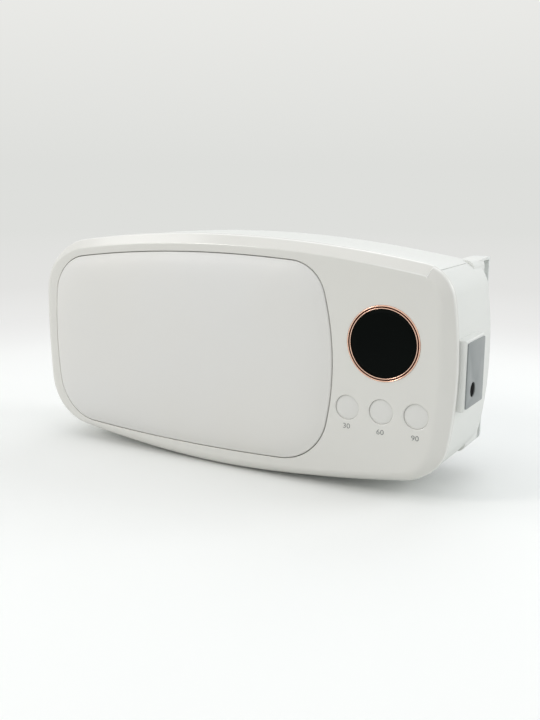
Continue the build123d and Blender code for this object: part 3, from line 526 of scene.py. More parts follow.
class Solid:
    """Vertices and faces of one closed piece while it is made, in metres."""

    def __init__(self) -> None:
        """Start with nothing."""
        self.points: list[Vector] = []
        self.faces: list[tuple[int, ...]] = []
        # Share of painted highlight at each point, kept as a point attribute of the mesh.
        self.polish: dict[int, float] = {}

    def loop(self, points: Iterable[Vector]) -> list[int]:
        """Add points and give their numbers.

        Args:
            points: the points, in order.

        Returns:
            Their numbers.
        """
        start = len(self.points)
        self.points.extend(points)
        return list(range(start, len(self.points)))

    def bridge(self, first: Sequence[int], second: Sequence[int]) -> None:
        """Join two closed loops of the same length by a band of faces.

        Args:
            first: numbers of the points of one loop.
            second: numbers of the points of the other.
        """
        count = len(first)
        for k in range(count):
            n = (k + 1) % count
            self.faces.append((first[k], first[n], second[n], second[k]))

    def stack(self, loops: Sequence[Sequence[int]]) -> None:
        """Join a row of closed loops, each to the next."""
        for first, second in zip(loops, loops[1:]):
            self.bridge(first, second)

    def cap(self, loop: Sequence[int], middle: Vector) -> None:
        """Close a loop with a fan of faces to one middle point.

        Args:
            loop: numbers of the loop's points.
            middle: the middle point.
        """
        centre = self.loop([middle])[0]
        for k, index in enumerate(loop):
            self.faces.append((index, loop[(k + 1) % len(loop)], centre))

    def piece(self, role: Role) -> bpy.types.Object:
        """Turn the faces into a finished object.

        Args:
            role: what the piece is.

        Returns:
            The new object.
        """
        mesh = bpy.data.meshes.new(role.name)
        mesh.from_pydata(self.points, [], self.faces)
        if self.polish:
            layer = mesh.attributes.new("painted_edge_glint", "FLOAT", "POINT")
            layer.data.foreach_set("value", [self.polish.get(k, 0.0) for k in range(len(self.points))])
        made = shown(role.name, mesh)
        tidy_mesh(mesh)
        settle(made, role)
        return made


def tidy_mesh(mesh: bpy.types.Mesh) -> None:
    """Merge doubled points and turn every face of a closed mesh outwards.

    Args:
        mesh: the mesh.
    """
    work = bmesh.new()
    work.from_mesh(mesh)
    bmesh.ops.remove_doubles(work, verts=work.verts, dist=1e-7)
    bmesh.ops.recalc_face_normals(work, faces=work.faces)
    work.to_mesh(mesh)
    work.free()


def shown(name: str, data: bpy.types.ID) -> bpy.types.Object:
    """Make an object and link it to the scene.

    Args:
        name: object name.
        data: its mesh, curve, light or camera.

    Returns:
        The new object.
    """
    made = bpy.data.objects.new(name, data)
    bpy.context.scene.collection.objects.link(made)
    return made


def settle(made: bpy.types.Object, role: Role) -> None:
    """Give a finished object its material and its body.

    Args:
        made: the object.
        role: what it is.
    """
    made.data.materials.clear()
    made.data.materials.append(role.finish.build())
    made.data.shade_smooth()
    made.data.set_sharp_from_angle(angle=math.radians(role.sharp))
    if role.replaces:
        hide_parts(*role.replaces)
    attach(made, role.body)
    log.info("%s: %d faces on body %s", made.name, len(made.data.polygons), role.body)


def dress_node(node: str, finish: Finish) -> None:
    """Give a node of the part a better material.

    Args:
        node: name of the node.
        finish: what its surface is.
    """
    shown = frame["nodes"][node]
    shown.data.materials.clear()
    shown.data.materials.append(finish.build())
    log.info("%s: kept as it is, with %s", node, finish.name)


class Shaping(Enum):
    """What a helper solid does to the piece it meets."""

    ADD = "UNION"
    CUT = "DIFFERENCE"


def helper(name: str, near: Sequence[Vector], far: Sequence[Vector]) -> bpy.types.Object:
    """Make a straight helper solid between two matching outlines, without a finish.

    Args:
        name: object name.
        near: outline at one end.
        far: outline at the other end.

    Returns:
        The helper solid.
    """
    solid = Solid()
    first = solid.loop(near)
    last = solid.loop(far)
    solid.bridge(first, last)
    solid.faces += [tuple(first), tuple(reversed(last))]
    mesh = bpy.data.meshes.new(name)
    mesh.from_pydata(solid.points, [], solid.faces)
    tidy_mesh(mesh)
    return shown(name, mesh)


def bar(name: str, section: Sequence[Flat], front: float, rear: float) -> bpy.types.Object:
    """Helper solid whose section, x and z, runs from front to rear."""
    return helper(name, [at(x, front, z) for x, z in section], [at(x, rear, z) for x, z in section])


def rail(name: str, section: Sequence[Flat], low: float, high: float) -> bpy.types.Object:
    """Helper solid whose section, depth and z, runs from left to right."""
    return helper(name, [at(low, depth, z) for depth, z in section],
                  [at(high, depth, z) for depth, z in section])


def box_bar(name: str, low: Flat, high: Flat, front: float, rear: float) -> bpy.types.Object:
    """Upright rectangular helper solid between two corners."""
    return bar(name, [low, (high[0], low[1]), high, (low[0], high[1])], front, rear)


def softened(node: str, finish: Finish, slot: str, width: float, segments: int = 2,
             shaping: Sequence[tuple[Shaping, bpy.types.Object]] = ()) -> bpy.types.Object:
    """Stand in for a node with a merged copy of it whose edges are broken as a mould breaks them.

    Args:
        node: name of the node.
        finish: what its surface is.
        slot: material slot of the part that it belongs to.
        width: width of the broken edge in millimetres.
        segments: faces across the broken edge.
        shaping: solids that are added or cut out after that, such as a groove.

    Returns:
        The new object.
    """
    source = frame["nodes"][node]
    mesh = source.data.copy()
    mesh.name = f"{node}_soft"
    work = bmesh.new()
    work.from_mesh(mesh)
    bmesh.ops.remove_doubles(work, verts=work.verts, dist=2e-6)
    bmesh.ops.dissolve_degenerate(work, dist=1e-6, edges=work.edges)
    bmesh.ops.dissolve_limit(work, angle_limit=math.radians(FLAT_ANGLE), verts=work.verts, edges=work.edges,
                             use_dissolve_boundaries=False)
    work.to_mesh(mesh)
    work.free()
    stored = mesh.attributes.get("custom_normal")
    if stored:
        mesh.attributes.remove(stored)
    made = shown(f"{node}_soft", mesh)
    bevel = made.modifiers.new("broken_edges", "BEVEL")
    bevel.width = width / MM_PER_M
    bevel.segments = segments
    bevel.limit_method = "ANGLE"
    bevel.angle_limit = math.radians(EDGE_ANGLE)
    bevel.use_clamp_overlap = True
    for kind, tool in shaping:
        cut = made.modifiers.new(kind.name.lower(), "BOOLEAN")
        cut.operation = kind.value
        cut.object = tool
        cut.solver = "EXACT"
    bake_modifiers(made)
    for _, tool in shaping:
        bpy.data.objects.remove(tool)
    settle(made, Role(made.name, finish, source["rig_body"], slot, (node,), CRISP_ANGLE))
    return made


def bake_modifiers(made: bpy.types.Object) -> None:
    """Replace an object's mesh by the one its modifiers make, and remove the modifiers.

    Args:
        made: the object.
    """
    graph = bpy.context.evaluated_depsgraph_get()
    mesh = bpy.data.meshes.new_from_object(made.evaluated_get(graph))
    made.modifiers.clear()
    made.data = mesh


@dataclass(frozen=True)
class Spot:
    """One point of an outline: its place, the way out of the outline there and where along it lies."""

    x: float
    z: float
    out_x: float
    out_z: float
    arc: int
    share: float

    def inset(self, width: float) -> Flat:
        """The same point moved into the outline."""
        return (self.x - self.out_x * width, self.z - self.out_z * width)


@dataclass(frozen=True)
class Outline:
    """Four bowed sides joined by four corner arcs, seen from the front, clockwise from the top."""

    top: float
    right: float
    bottom: float
    left: float
    bows: tuple[float, float, float, float]
    corners: tuple[float, float, float, float]
    rise: float = 0.0
    lean: float = 0.0

    def grown(self, step: float) -> "Outline":
        """Draw the same outline larger all round.

        Args:
            step: how much larger.

        Returns:
            The larger outline.
        """
        return Outline(self.top + step, self.right + step, self.bottom + step, self.left + step,
                       tuple(bow + step for bow in self.bows),
                       tuple(radius + step for radius in self.corners), self.rise, self.lean)

    def spots(self, side_steps: int, corner_steps: int,
              extra: dict[int, list[float]] | None = None) -> list[Spot]:
        """Points along the outline.

        Args:
            side_steps: points on each bowed side.
            corner_steps: points on each corner arc.
            extra: more shares of the way along an arc, by the arc's number. Arcs 0, 2, 4 and 6 are the
                top, right, bottom and left sides, and the odd ones the corners after them.

        Returns:
            The points in order.
        """
        top, right, bottom, left = self.bows
        circles = [
            (Vector((0, self.top - top)), top),
            (Vector((self.right - right, self.rise)), right),
            (Vector((self.lean, bottom - self.bottom)), bottom),
            (Vector((left - self.left, self.rise)), left),
        ]
        near = [(self.right, self.top), (self.right, -self.bottom), (-self.left, -self.bottom),
                (-self.left, self.top)]
        bends = [corner_bend(circles[k], circles[(k + 1) % 4], self.corners[k], Vector(near[k]))
                 for k in range(4)]
        found = []
        for k in range(4):
            start, centre, end = bends[k]
            arcs = ((bends[k - 1][2], start, circles[k][0], side_steps), (start, end, centre, corner_steps))
            for half, (first, last, middle, steps) in enumerate(arcs):
                arc = 2 * k + half
                shares = sorted({n / steps for n in range(steps)} | set((extra or {}).get(arc, [])))
                found.extend(arc_spots(first, last, middle, arc, shares))
        return found


def corner_bend(first: tuple[Vector, float], second: tuple[Vector, float], radius: float,
                near: Vector) -> tuple[Vector, Vector, Vector]:
    """Find the arc that rounds the corner of two circles from inside.

    Args:
        first: centre and radius of the circle before the corner.
        second: centre and radius of the circle after it.
        radius: radius of the corner's arc.
        near: place near the corner.

    Returns:
        Start, centre and end of the arc.
    """
    (c1, r1), (c2, r2) = first, second
    reach1 = r1 - radius
    reach2 = r2 - radius
    apart = (c2 - c1).length
    along = (reach1**2 - reach2**2 + apart**2) / (2 * apart)
    across = math.sqrt(reach1**2 - along**2)
    way = (c2 - c1).normalized()
    side = Vector((-way.y, way.x))
    middle = c1 + way * along
    centre = min((middle + side * across, middle - side * across), key=lambda p: (p - near).length)
    start = c1 + (centre - c1).normalized() * r1
    end = c2 + (centre - c2).normalized() * r2
    return start, centre, end


def arc_spots(first: Vector, last: Vector, middle: Vector, arc: int, shares: Sequence[float]) -> list[Spot]:
    """Find points on one arc.

    Args:
        first: start of the arc.
        last: end of the arc.
        middle: its centre.
        arc: its number.
        shares: how far along it each point lies, from 0 to 1.

    Returns:
        The points in order.
    """
    begin = math.atan2(first.y - middle.y, first.x - middle.x)
    turn = math.atan2(last.y - middle.y, last.x - middle.x) - begin
    turn = (turn + math.pi) % (2 * math.pi) - math.pi
    radius = (first - middle).length
    found = []
    for share in shares:
        angle = begin + turn * share
        right, up = math.cos(angle), math.sin(angle)
        found.append(Spot(middle.x + radius * right, middle.y + radius * up, right, up, arc, share))
    return found


def disc_loop(x: float, z: float, radius: float, steps: int) -> list[Flat]:
    """Points of a circle, clockwise from the top."""
    return [(x + radius * math.sin(2 * math.pi * k / steps), z + radius * math.cos(2 * math.pi * k / steps))
            for k in range(steps)]


def inside(point: Flat, polygon: Sequence[Flat]) -> bool:
    """Tell whether a point lies in a polygon.

    Args:
        point: the point.
        polygon: corners of the polygon in order.

    Returns:
        True inside the polygon.
    """
    x, z = point
    found = False
    for (x1, z1), (x2, z2) in zip(polygon, list(polygon[1:]) + [polygon[0]]):
        if (z1 > z) != (z2 > z) and x < (x2 - x1) * (z - z1) / (z2 - z1) + x1:
            found = not found
    return found


def fill(outer: Sequence[Flat], holes: Sequence[Sequence[Flat]], spacing: float,
         margin: float) -> tuple[list[Flat], list[tuple[int, int, int]]]:
    """Cut the space between an outline and its holes into triangles.

    Args:
        outer: the outline.
        holes: loops left open.
        spacing: distance of the points added inside.
        margin: how far they stay from every loop.

    Returns:
        The added points, and triangles that number the outline's points first, then each hole's, then
        the added ones.
    """
    loops = [list(outer)] + [list(hole) for hole in holes]
    points = [point for loop in loops for point in loop]
    edges = []
    start = 0
    for loop in loops:
        edges.extend((start + k, start + (k + 1) % len(loop)) for k in range(len(loop)))
        start += len(loop)
    fixed = list(points)
    added = []
    low = (min(p[0] for p in outer), min(p[1] for p in outer))
    high = (max(p[0] for p in outer), max(p[1] for p in outer))
    for row in range(int((high[1] - low[1]) / spacing) + 1):
        for column in range(int((high[0] - low[0]) / spacing) + 1):
            spot = (low[0] + (column + 0.5 * (row % 2)) * spacing, low[1] + row * spacing)
            if not inside(spot, outer) or any(inside(spot, hole) for hole in holes):
                continue
            if min((spot[0] - p[0])**2 + (spot[1] - p[1])**2 for p in fixed) > margin**2:
                added.append(spot)
    made, _, triangles, origins, _, _ = delaunay_2d_cdt(
        [Vector(p) for p in points + added], edges, [], 0, 1e-5, True)
    back = [origin[0] for origin in origins]
    kept = []
    for triangle in triangles:
        middle = tuple(sum(made[k][axis] for k in triangle) / 3 for axis in (0, 1))
        if inside(middle, outer) and not any(inside(middle, hole) for hole in holes):
            kept.append(tuple(back[k] for k in triangle))
    return added, kept


class Edge(Enum):
    """How the cover's front edge is formed on each side."""

    CHAMFER = "flat and crisp, along the top"
    BEVEL = "shallow and soft, along the right end"
    ROLL = "fully rounded, along the bottom"
    ROUND = "small radius, along the left end"


@dataclass(frozen=True)
class Cut:
    """Straight cut of an edge with rounded ends, in millimetres.

    drop is the depth at which the cut meets the side wall, width is the distance from the side at which
    it meets the face, and outer and inner are how far its two ends are rounded.
    """

    drop: float
    width: float
    outer: float
    inner: float


@dataclass(frozen=True)
class TopCover:
    """Control face: a bowed front with a different edge on each side, and its openings."""

    outline: Outline = Outline(61.3, 124.25, 61.3, 124.25, (655.0, 217.0, 600.0, 400.0),
                               (18.0, 25.0, 29.0, 33.0), 4.0)
    chamfer: Cut = Cut(4.1, 4.9, 0.85, 0.5)
    # The bevel on the right end grows shallower and narrower upwards.
    bevel_low: Cut = Cut(2.6, 7.4, 1.1, 1.5)
    bevel_high: Cut = Cut(2.1, 5.2, 1.1, 1.0)
    small_round: Cut = Cut(1.9, 2.6, 1.2, 1.4)
    # A ramp starts at its first number and takes its second one to run out.
    bevel_width_ramp: Flat = (18.0, 30.0)
    bevel_drop_ramp: Flat = (10.0, 30.0)
    # The roll along the bottom narrows to the left of the middle and tucks in to the right.
    roll_widths: Flat = (3.4, 6.8)
    roll_narrowing: Flat = (8.8, 1733.0)
    roll_tucks: Flat = (0.5, 1.5)
    roll_tuck_ramp: Flat = (-15.0, 80.0)
    roll_room: float = 0.12
    round_ramp: Flat = (0.25, 0.6)
    overlap: float = 0.04
    # The mitre on the top right corner lies at these shares of the corner's arc.
    mitre_share: float = 0.17
    mitre_width: float = 0.03
    ridge_height: float = 0.4
    ridge_half: float = 0.02
    ridge_way: Flat = (0.35, 0.8)
    ridge_end: float = 1.15
    ridge_steps: tuple[int, int] = (3, 17)
    # How much painted highlight lightens each kind of edge, from 0 to 1, where the edge would catch the
    # light.
    chamfer_polish: float = 0.85
    bevel_polish: float = 0.55
    round_polish: float = 0.3
    brow_polish: float = 0.8
    brow_ramp: Flat = (50.0, 60.0)
    brow: float = 0.45
    lead_in: float = 0.05
    steps: int = 8
    side_steps: int = 72
    corner_steps: int = 36
    mitre_steps: int = 5
    hole_steps: int = 5
    skin_spacing: float = 6.0
    skin_margin: float = 2.2

    def cut_line(self, cut: Cut) -> list[Flat]:
        """Edge profile of a straight cut with rounded ends.

        Args:
            cut: the cut.

        Returns:
            Distance in from the side and depth below the face, from the side wall to the face.
        """
        slope = math.hypot(cut.drop, cut.width)
        way = (cut.width / slope, -cut.drop / slope)
        ends = ((0.0, cut.drop + cut.outer), (0.0, cut.drop),
                (cut.outer * way[0], cut.drop + cut.outer * way[1]))
        turns = ((cut.width - cut.inner * way[0], -cut.inner * way[1]), (cut.width, 0.0),
                 (cut.width + cut.inner, 0.0))
        found = []
        for first, bend, last in (ends, turns):
            found.append(tuple(first[a] - self.overlap * (bend[a] - first[a]) for a in (0, 1)))
            for k in range(self.steps + 1):
                t = k / self.steps
                found.append(tuple((1 - t)**2 * first[a] + 2 * t * (1 - t) * bend[a] + t * t * last[a]
                                   for a in (0, 1)))
            found.append(tuple(last[a] + self.overlap * (last[a] - bend[a]) for a in (0, 1)))
        return found

    def roll_line(self, drop: float, width: float, tuck: float) -> list[Flat]:
        """Edge profile of a quarter ellipse, with as many points as a straight cut.

        Args:
            drop: depth at which it meets the side wall.
            width: distance from the side at which it meets the face.
            tuck: how far its lower end lies in from the side.

        Returns:
            Distance in from the side and depth below the face, from the side wall to the face.
        """
        count = 2 * (self.steps + 3)
        found = []
        for k in range(count):
            angle = math.pi / 2 * k / (count - 1)
            found.append((tuck + (width - tuck) * (1 - math.cos(angle)), drop * (1 - math.sin(angle))))
        return found

    def profile(self, edge: Edge, x: float, z: float) -> list[Flat]:
        """Edge profile of one kind at a place on the outline.

        Args:
            edge: kind of edge.
            x: the place's distance to the right of the middle.
            z: the place's height above the middle.

        Returns:
            Distance in from the side and depth below the face, from the side wall to the face.
        """
        if edge is Edge.CHAMFER:
            return self.cut_line(self.chamfer)
        if edge is Edge.BEVEL:
            low, high = self.bevel_low, self.bevel_high
            share = ramp(z, *self.bevel_width_ramp)
            return self.cut_line(Cut(mix(low.drop, high.drop, ramp(z, *self.bevel_drop_ramp)),
                                     mix(low.width, high.width, share), low.outer,
                                     mix(low.inner, high.inner, share)))
        if edge is Edge.ROLL:
            narrow, wide = self.roll_widths
            start, bend = self.roll_narrowing
            width = max(narrow, min(wide, start - x * x / bend)) if x < 0 else wide
            room = RIM_DEPTH - bow_depth(x) - self.roll_room
            return self.roll_line(room, width, mix(*self.roll_tucks, ramp(x, *self.roll_tuck_ramp)))
        return self.cut_line(self.small_round)

    def weights(self, spot: Spot) -> dict[Edge, float]:
        """Share of each kind of edge at a point of the outline.

        Args:
            spot: the point.

        Returns:
            The shares, which add up to one.
        """
        sides = {0: Edge.CHAMFER, 2: Edge.BEVEL, 4: Edge.ROLL, 6: Edge.ROUND}
        if spot.arc in sides:
            return {sides[spot.arc]: 1.0}
        ramps = {1: (self.mitre_share, self.mitre_width), 7: self.round_ramp}
        share = ramp(spot.share, *ramps.get(spot.arc, (0.0, 1.0)))
        return {sides[spot.arc - 1]: 1 - share, sides[(spot.arc + 1) % 8]: share}

    def edge_loops(self, spots: Sequence[Spot]) -> list[list[Flat]]:
        """Blend the edge profiles along the outline.

        Args:
            spots: points of the outline.

        Returns:
            For each point, its edge profile from the side wall to the face.
        """
        found = []
        for spot in spots:
            parts = [(share, self.profile(edge, spot.x, spot.z))
                     for edge, share in self.weights(spot).items()]
            line = [tuple(sum(share * line[k][a] for share, line in parts) for a in (0, 1))
                    for k in range(len(parts[0][1]))]
            found.append(self.ridged(spot, line))
        return found

    def polished(self, spot: Spot, step: int) -> float:
        """How much painted highlight lightens the edge where it would glint.

        Args:
            spot: point of the outline.
            step: number of the point in its edge profile.

        Returns:
            A share from 0 to 1.
        """
        reach = {Edge.CHAMFER: self.chamfer_polish, Edge.BEVEL: self.bevel_polish,
                 Edge.ROUND: self.round_polish, Edge.ROLL: 0.0}
        bend = 1 + self.steps // 2
        spread = self.steps / 2
        outer = max(0.0, 1 - abs(step - bend) / spread)
        inner = max(0.0, 1 - abs(step - bend - self.steps - 3) / spread)
        shares = self.weights(spot)
        found = outer * sum(reach[edge] * share for edge, share in shares.items())
        # Painted highlight also along the chamfer's inner edge towards the right end, and on the mitre's
        # ridge.
        near = ramp(spot.x, *self.brow_ramp) * shares.get(Edge.CHAMFER, 0.0)
        found = max(found, self.brow_polish * inner * near)
        away = abs(spot.share - self.mitre_share - self.mitre_width / 2) / self.ridge_half
        first, last = self.ridge_steps
        if spot.arc == 1 and away < 1 and first <= step <= last:
            found = max(found, 1 - away**2)
        return found

    def ridged(self, spot: Spot, line: list[Flat]) -> list[Flat]:
        """Raise the fine ridge that the mould's mitre leaves on the top right corner.

        Args:
            spot: point of the outline.
            line: its edge profile.

        Returns:
            The edge profile with the ridge.
        """
        away = (spot.share - self.mitre_share - self.mitre_width / 2) / self.ridge_half
        if spot.arc != 1 or abs(away) >= 1:
            return line
        lift = self.ridge_height * 0.5 * (1 + math.cos(math.pi * away))
        last = len(line) - 1
        shares = [math.sin(math.pi * min(1.0, self.ridge_end * k / last)) ** 0.5 if k < last else 0.0
                  for k in range(last + 1)]
        side, front = self.ridge_way
        return [(w - side * lift * share, d - front * lift * share) for (w, d), share in zip(line, shares)]

    def hole_loops(self, solid: Solid, rings: Sequence[Sequence[Flat]],
                   radius: float) -> tuple[list[int], list[int]]:
        """Rounded wall of one opening.

        Args:
            solid: piece being made.
            rings: the opening's loop grown by a share of the radius from 0 to 1 for each step.
            radius: rounding of the opening's front edge.

        Returns:
            Numbers of the front loop's points, and of the rear loop's.
        """
        steps = len(rings) - 1
        front = []
        for k in range(steps, -1, -1):
            depth = radius * (1 - math.sqrt(1 - (1 - k / steps)**2))
            front.append(solid.loop(at(x, bow_depth(x) + depth, z) for x, z in rings[k]))
        wall = solid.loop(at(x, bow_depth(x) + radius + self.lead_in, z) for x, z in rings[0])
        rear = solid.loop(at(x, bow_depth(x) + FACE_WALL, z) for x, z in rings[0])
        solid.stack(front + [wall, rear])
        return front[0], rear

    def build(self, openings: Sequence[tuple[Callable[[float], list[Flat]], float]]) -> bpy.types.Object:
        """Make the cover.

        Args:
            openings: for each opening, a function that gives its loop grown by a distance, and the
                rounding of its edge.

        Returns:
            The cover.
        """
        solid = Solid()
        middle = self.mitre_share + self.mitre_width / 2
        reach = self.mitre_steps + 1
        mitre = [middle + self.ridge_half * k / self.mitre_steps for k in range(-reach, reach + 1)]
        spots = self.outline.spots(self.side_steps, self.corner_steps, {1: mitre})
        profiles = self.edge_loops(spots)
        loops = [solid.loop(at(s.inset(p[0][0])[0], RIM_DEPTH, s.inset(p[0][0])[1])
                            for s, p in zip(spots, profiles))]
        for k in range(len(profiles[0])):
            points = []
            for spot, line in zip(spots, profiles):
                x, z = spot.inset(line[k][0])
                points.append(at(x, bow_depth(x) + line[k][1], z))
            loops.append(solid.loop(points))
            for index, spot in zip(loops[-1], spots):
                solid.polish[index] = self.polished(spot, k)
        brow = [spot.inset(line[-1][0] + self.brow) for spot, line in zip(spots, profiles)]
        loops.append(solid.loop(at(x, bow_depth(x), z) for x, z in brow))
        solid.stack(loops)
        inner = [spot.inset(RIM_WALL) for spot in spots]
        back = solid.loop(at(x, RIM_DEPTH, z) for x, z in inner)
        root = solid.loop(at(x, bow_depth(x) + FACE_WALL, z) for x, z in inner)
        solid.stack([loops[0], back, root])
        fronts, rears, holes, bores = [], [], [], []
        for loop_at, radius in openings:
            rings = [loop_at(radius * k / self.hole_steps) for k in range(self.hole_steps + 1)]
            front, rear = self.hole_loops(solid, rings, radius)
            fronts.append(front)
            rears.append(rear)
            holes.append(rings[-1])
            bores.append(rings[0])
        self.skin(solid, brow, loops[-1], holes, fronts, 0.0)
        self.skin(solid, inner, root, bores, rears, FACE_WALL)
        return solid.piece(Role("cover_shell", FINISHES.cover, "case", "cover", ("top_cover",), 50.0))

    def skin(self, solid: Solid, outer: Sequence[Flat], outer_loop: Sequence[int],
             holes: Sequence[Sequence[Flat]], hole_loops: Sequence[Sequence[int]], drop: float) -> None:
        """Close the bowed sheet between the outline and the openings.

        Args:
            solid: piece being made.
            outer: places of the outline.
            outer_loop: numbers of its points.
            holes: places of each opening.
            hole_loops: numbers of each opening's points.
            drop: depth of the sheet below the face.
        """
        added, triangles = fill(outer, holes, self.skin_spacing, self.skin_margin)
        numbers = list(outer_loop) + [index for loop in hole_loops for index in loop]
        numbers += solid.loop(at(x, bow_depth(x) + drop, z) for x, z in added)
        solid.faces.extend(tuple(numbers[k] for k in triangle) for triangle in triangles)


@dataclass(frozen=True)
class HandPad:
    """Crowned pad on the left of the control face, drawn in at its edge."""

    outline: Outline = Outline(51.9, 63.25, 50.6, 115.5, (666.0, 138.0, 1300.0, 216.0),
                               (19.3, 27.0, 26.3, 24.3), 0.0, -20.0)
    seam: float = 0.42
    opening_round: float = 0.25
    crown: float = 1.9
    crown_fullness: float = 2.0
    shoulder: float = 2.6
    shoulder_fullness: float = 12.0
    stand: float = 0.05
    lip: float = 0.9
    lip_steps: int = 8
    lip_share: float = 0.985
    rings: int = 26
    ring_spread: float = 1.25
    side_steps: int = 48
    corner_steps: int = 24

    def loop(self, growth: float) -> list[Flat]:
        """Loop of the pad's outline, grown by a distance."""
        spots = self.outline.grown(growth).spots(self.side_steps, self.corner_steps)
        return [(spot.x, spot.z) for spot in spots]

    def opening(self, growth: float) -> list[Flat]:
        """Loop of the cover's opening for the pad, grown by a distance."""
        return self.loop(self.seam + growth)

    def surface(self, share: float, x: float) -> float:
        """Find how deep the pad's front lies.

        Args:
            share: share of the way from the pad's middle to its edge.
            x: distance to the right of the middle of the lamp.

        Returns:
            Its depth.
        """
        rise = self.crown * (1 - abs(share)**self.crown_fullness)
        rise += self.shoulder * (1 - abs(share)**self.shoulder_fullness)
        return bow_depth(x) - rise - self.stand

    def build(self) -> bpy.types.Object:
        """Make the pad.

        Returns:
            The pad.
        """
        solid = Solid()
        edge = self.loop(0.0)
        lip = self.loop(-self.lip)
        middle = ((self.outline.right - self.outline.left) / 2, (self.outline.top - self.outline.bottom) / 2)
        loops = [solid.loop(at(x, bow_depth(x) + FACE_WALL, z) for x, z in edge)]
        for k in range(self.lip_steps + 1):
            angle = math.pi / 2 * k / self.lip_steps
            share = 1 - math.cos(angle)
            points = []
            for (ex, ez), (lx, lz) in zip(edge, lip):
                x = mix(ex, lx, share)
                depth = self.surface(self.lip_share, x) + self.lip * (1 - math.sin(angle))
                points.append(at(x, depth, mix(ez, lz, share)))
            loops.append(solid.loop(points))
        for k in range(1, self.rings):
            share = 1 - (k / self.rings)**self.ring_spread
            points = []
            for lx, lz in lip:
                x = mix(middle[0], lx, share)
                points.append(at(x, self.surface(share * self.lip_share, x), mix(middle[1], lz, share)))
            loops.append(solid.loop(points))
        solid.stack(loops)
        solid.cap(loops[-1], at(middle[0], self.surface(0.0, middle[0]), middle[1]))
        solid.cap(loops[0], at(middle[0], bow_depth(middle[0]) + FACE_WALL, middle[1]))
        made = solid.piece(Role("hand_pad_crowned", FINISHES.pad, "case", "pad", ("hand_pad",), 60.0))
        return made


@dataclass(frozen=True)
class Turned:
    """A round piece on the bowed face: a closed line turned about an axis through the face."""

    x: float
    z: float
    line: tuple[Flat, ...]
    steps: int = 96

    def build(self, role: Role) -> bpy.types.Object:
        """Make the piece.

        Args:
            role: what the piece is.

        Returns:
            The new object.
        """
        solid = Solid()
        loops = []
        for radius, depth in self.line:
            if radius > 0:
                points = disc_loop(self.x, self.z, radius, self.steps)
                loops.append(solid.loop(at(x, bow_depth(x) + depth, z) for x, z in points))
        solid.stack(loops)
        axis = bow_depth(self.x)
        if self.line[0][0] == 0:
            solid.cap(loops[0], at(self.x, axis + self.line[0][1], self.z))
            solid.cap(loops[-1], at(self.x, axis + self.line[-1][1], self.z))
        else:
            solid.bridge(loops[-1], loops[0])
        return solid.piece(role)


@dataclass(frozen=True)
class Display:
    """Round dark window in a plated ring with two raised lines."""

    x: float = 89.2
    z: float = 14.5
    radius: float = 18.15
    width: float = 1.75
    gap: float = 0.02
    opening_round: float = 0.12
    recess: float = 0.3
    lens_wall: float = 1.6
    lens_crown: tuple[Flat, ...] = ((0.0, -0.06), (0.5, -0.045), (0.85, -0.02))
    lens_edge: Flat = (0.25, 0.2)
    ledge: float = 1.2
    rise: float = 0.12
    # Each raised line: its middle's distance from that edge of the ring, half its width and its height.
    outer_line: Place = (0.33, 0.31, 0.42)
    inner_line: Place = (0.28, 0.26, 0.4)
    line_seat: float = 0.05
    line_steps: int = 8
    groove: Flat = (0.04, 0.2)
    groove_depth: float = 0.35
    steps: int = 128

    def opening(self, growth: float) -> list[Flat]:
        """Loop of the cover's opening for the ring, grown by a distance."""
        return disc_loop(self.x, self.z, self.radius + self.gap + growth, self.steps)

    def raised(self, centre: float, half: float, height: float) -> list[Flat]:
        """Section of one raised line of the ring, a half ellipse.

        Args:
            centre: radius at the line's middle.
            half: half its width.
            height: its height.

        Returns:
            Radius and depth of its points, from outside to inside.
        """
        angles = [math.pi * k / self.line_steps for k in range(self.line_steps + 1)]
        return [(centre + half * math.cos(angle), self.line_seat - height * math.sin(angle))
                for angle in angles]

    def ring_line(self) -> tuple[Flat, ...]:
        """Draw the closed section of the ring.

        Returns:
            Radius and depth behind the face of its points.
        """
        outer = self.radius
        inner = self.radius - self.width
        seat = self.recess + self.lens_wall
        place, half, height = self.outer_line
        groove = outer - place - half
        line = [(outer, FACE_WALL), (outer, -self.rise), *self.raised(outer - place, half, height)]
        line += [(groove - step, self.groove_depth) for step in self.groove]
        place, half, height = self.inner_line
        line += self.raised(inner + place, half, height)
        line += [(inner, seat), (inner - self.ledge, seat), (inner - self.ledge, FACE_WALL)]
        return tuple(line)

    def lens_line(self) -> tuple[Flat, ...]:
        """Draw the closed section of the window, with a broken edge.

        Returns:
            Radius and depth behind the face of its points.
        """
        reach = self.radius - self.width - self.gap
        front = self.recess
        line = [(reach * share, front + lift) for share, lift in self.lens_crown]
        line += [(reach - self.lens_edge[0], front), (reach, front + self.lens_edge[1]),
                 (reach, front + self.lens_wall), (0.0, front + self.lens_wall)]
        return tuple(line)

    def build(self) -> None:
        """Make the ring and the window."""
        Turned(self.x, self.z, self.ring_line(), self.steps).build(
            Role("trim_ring", FINISHES.ring, "case", "ring", ("display_ring",), 60.0))
        Turned(self.x, self.z, self.lens_line(), self.steps).build(
            Role("display_window", FINISHES.lens, "case", "lens", ("display_lens",)))


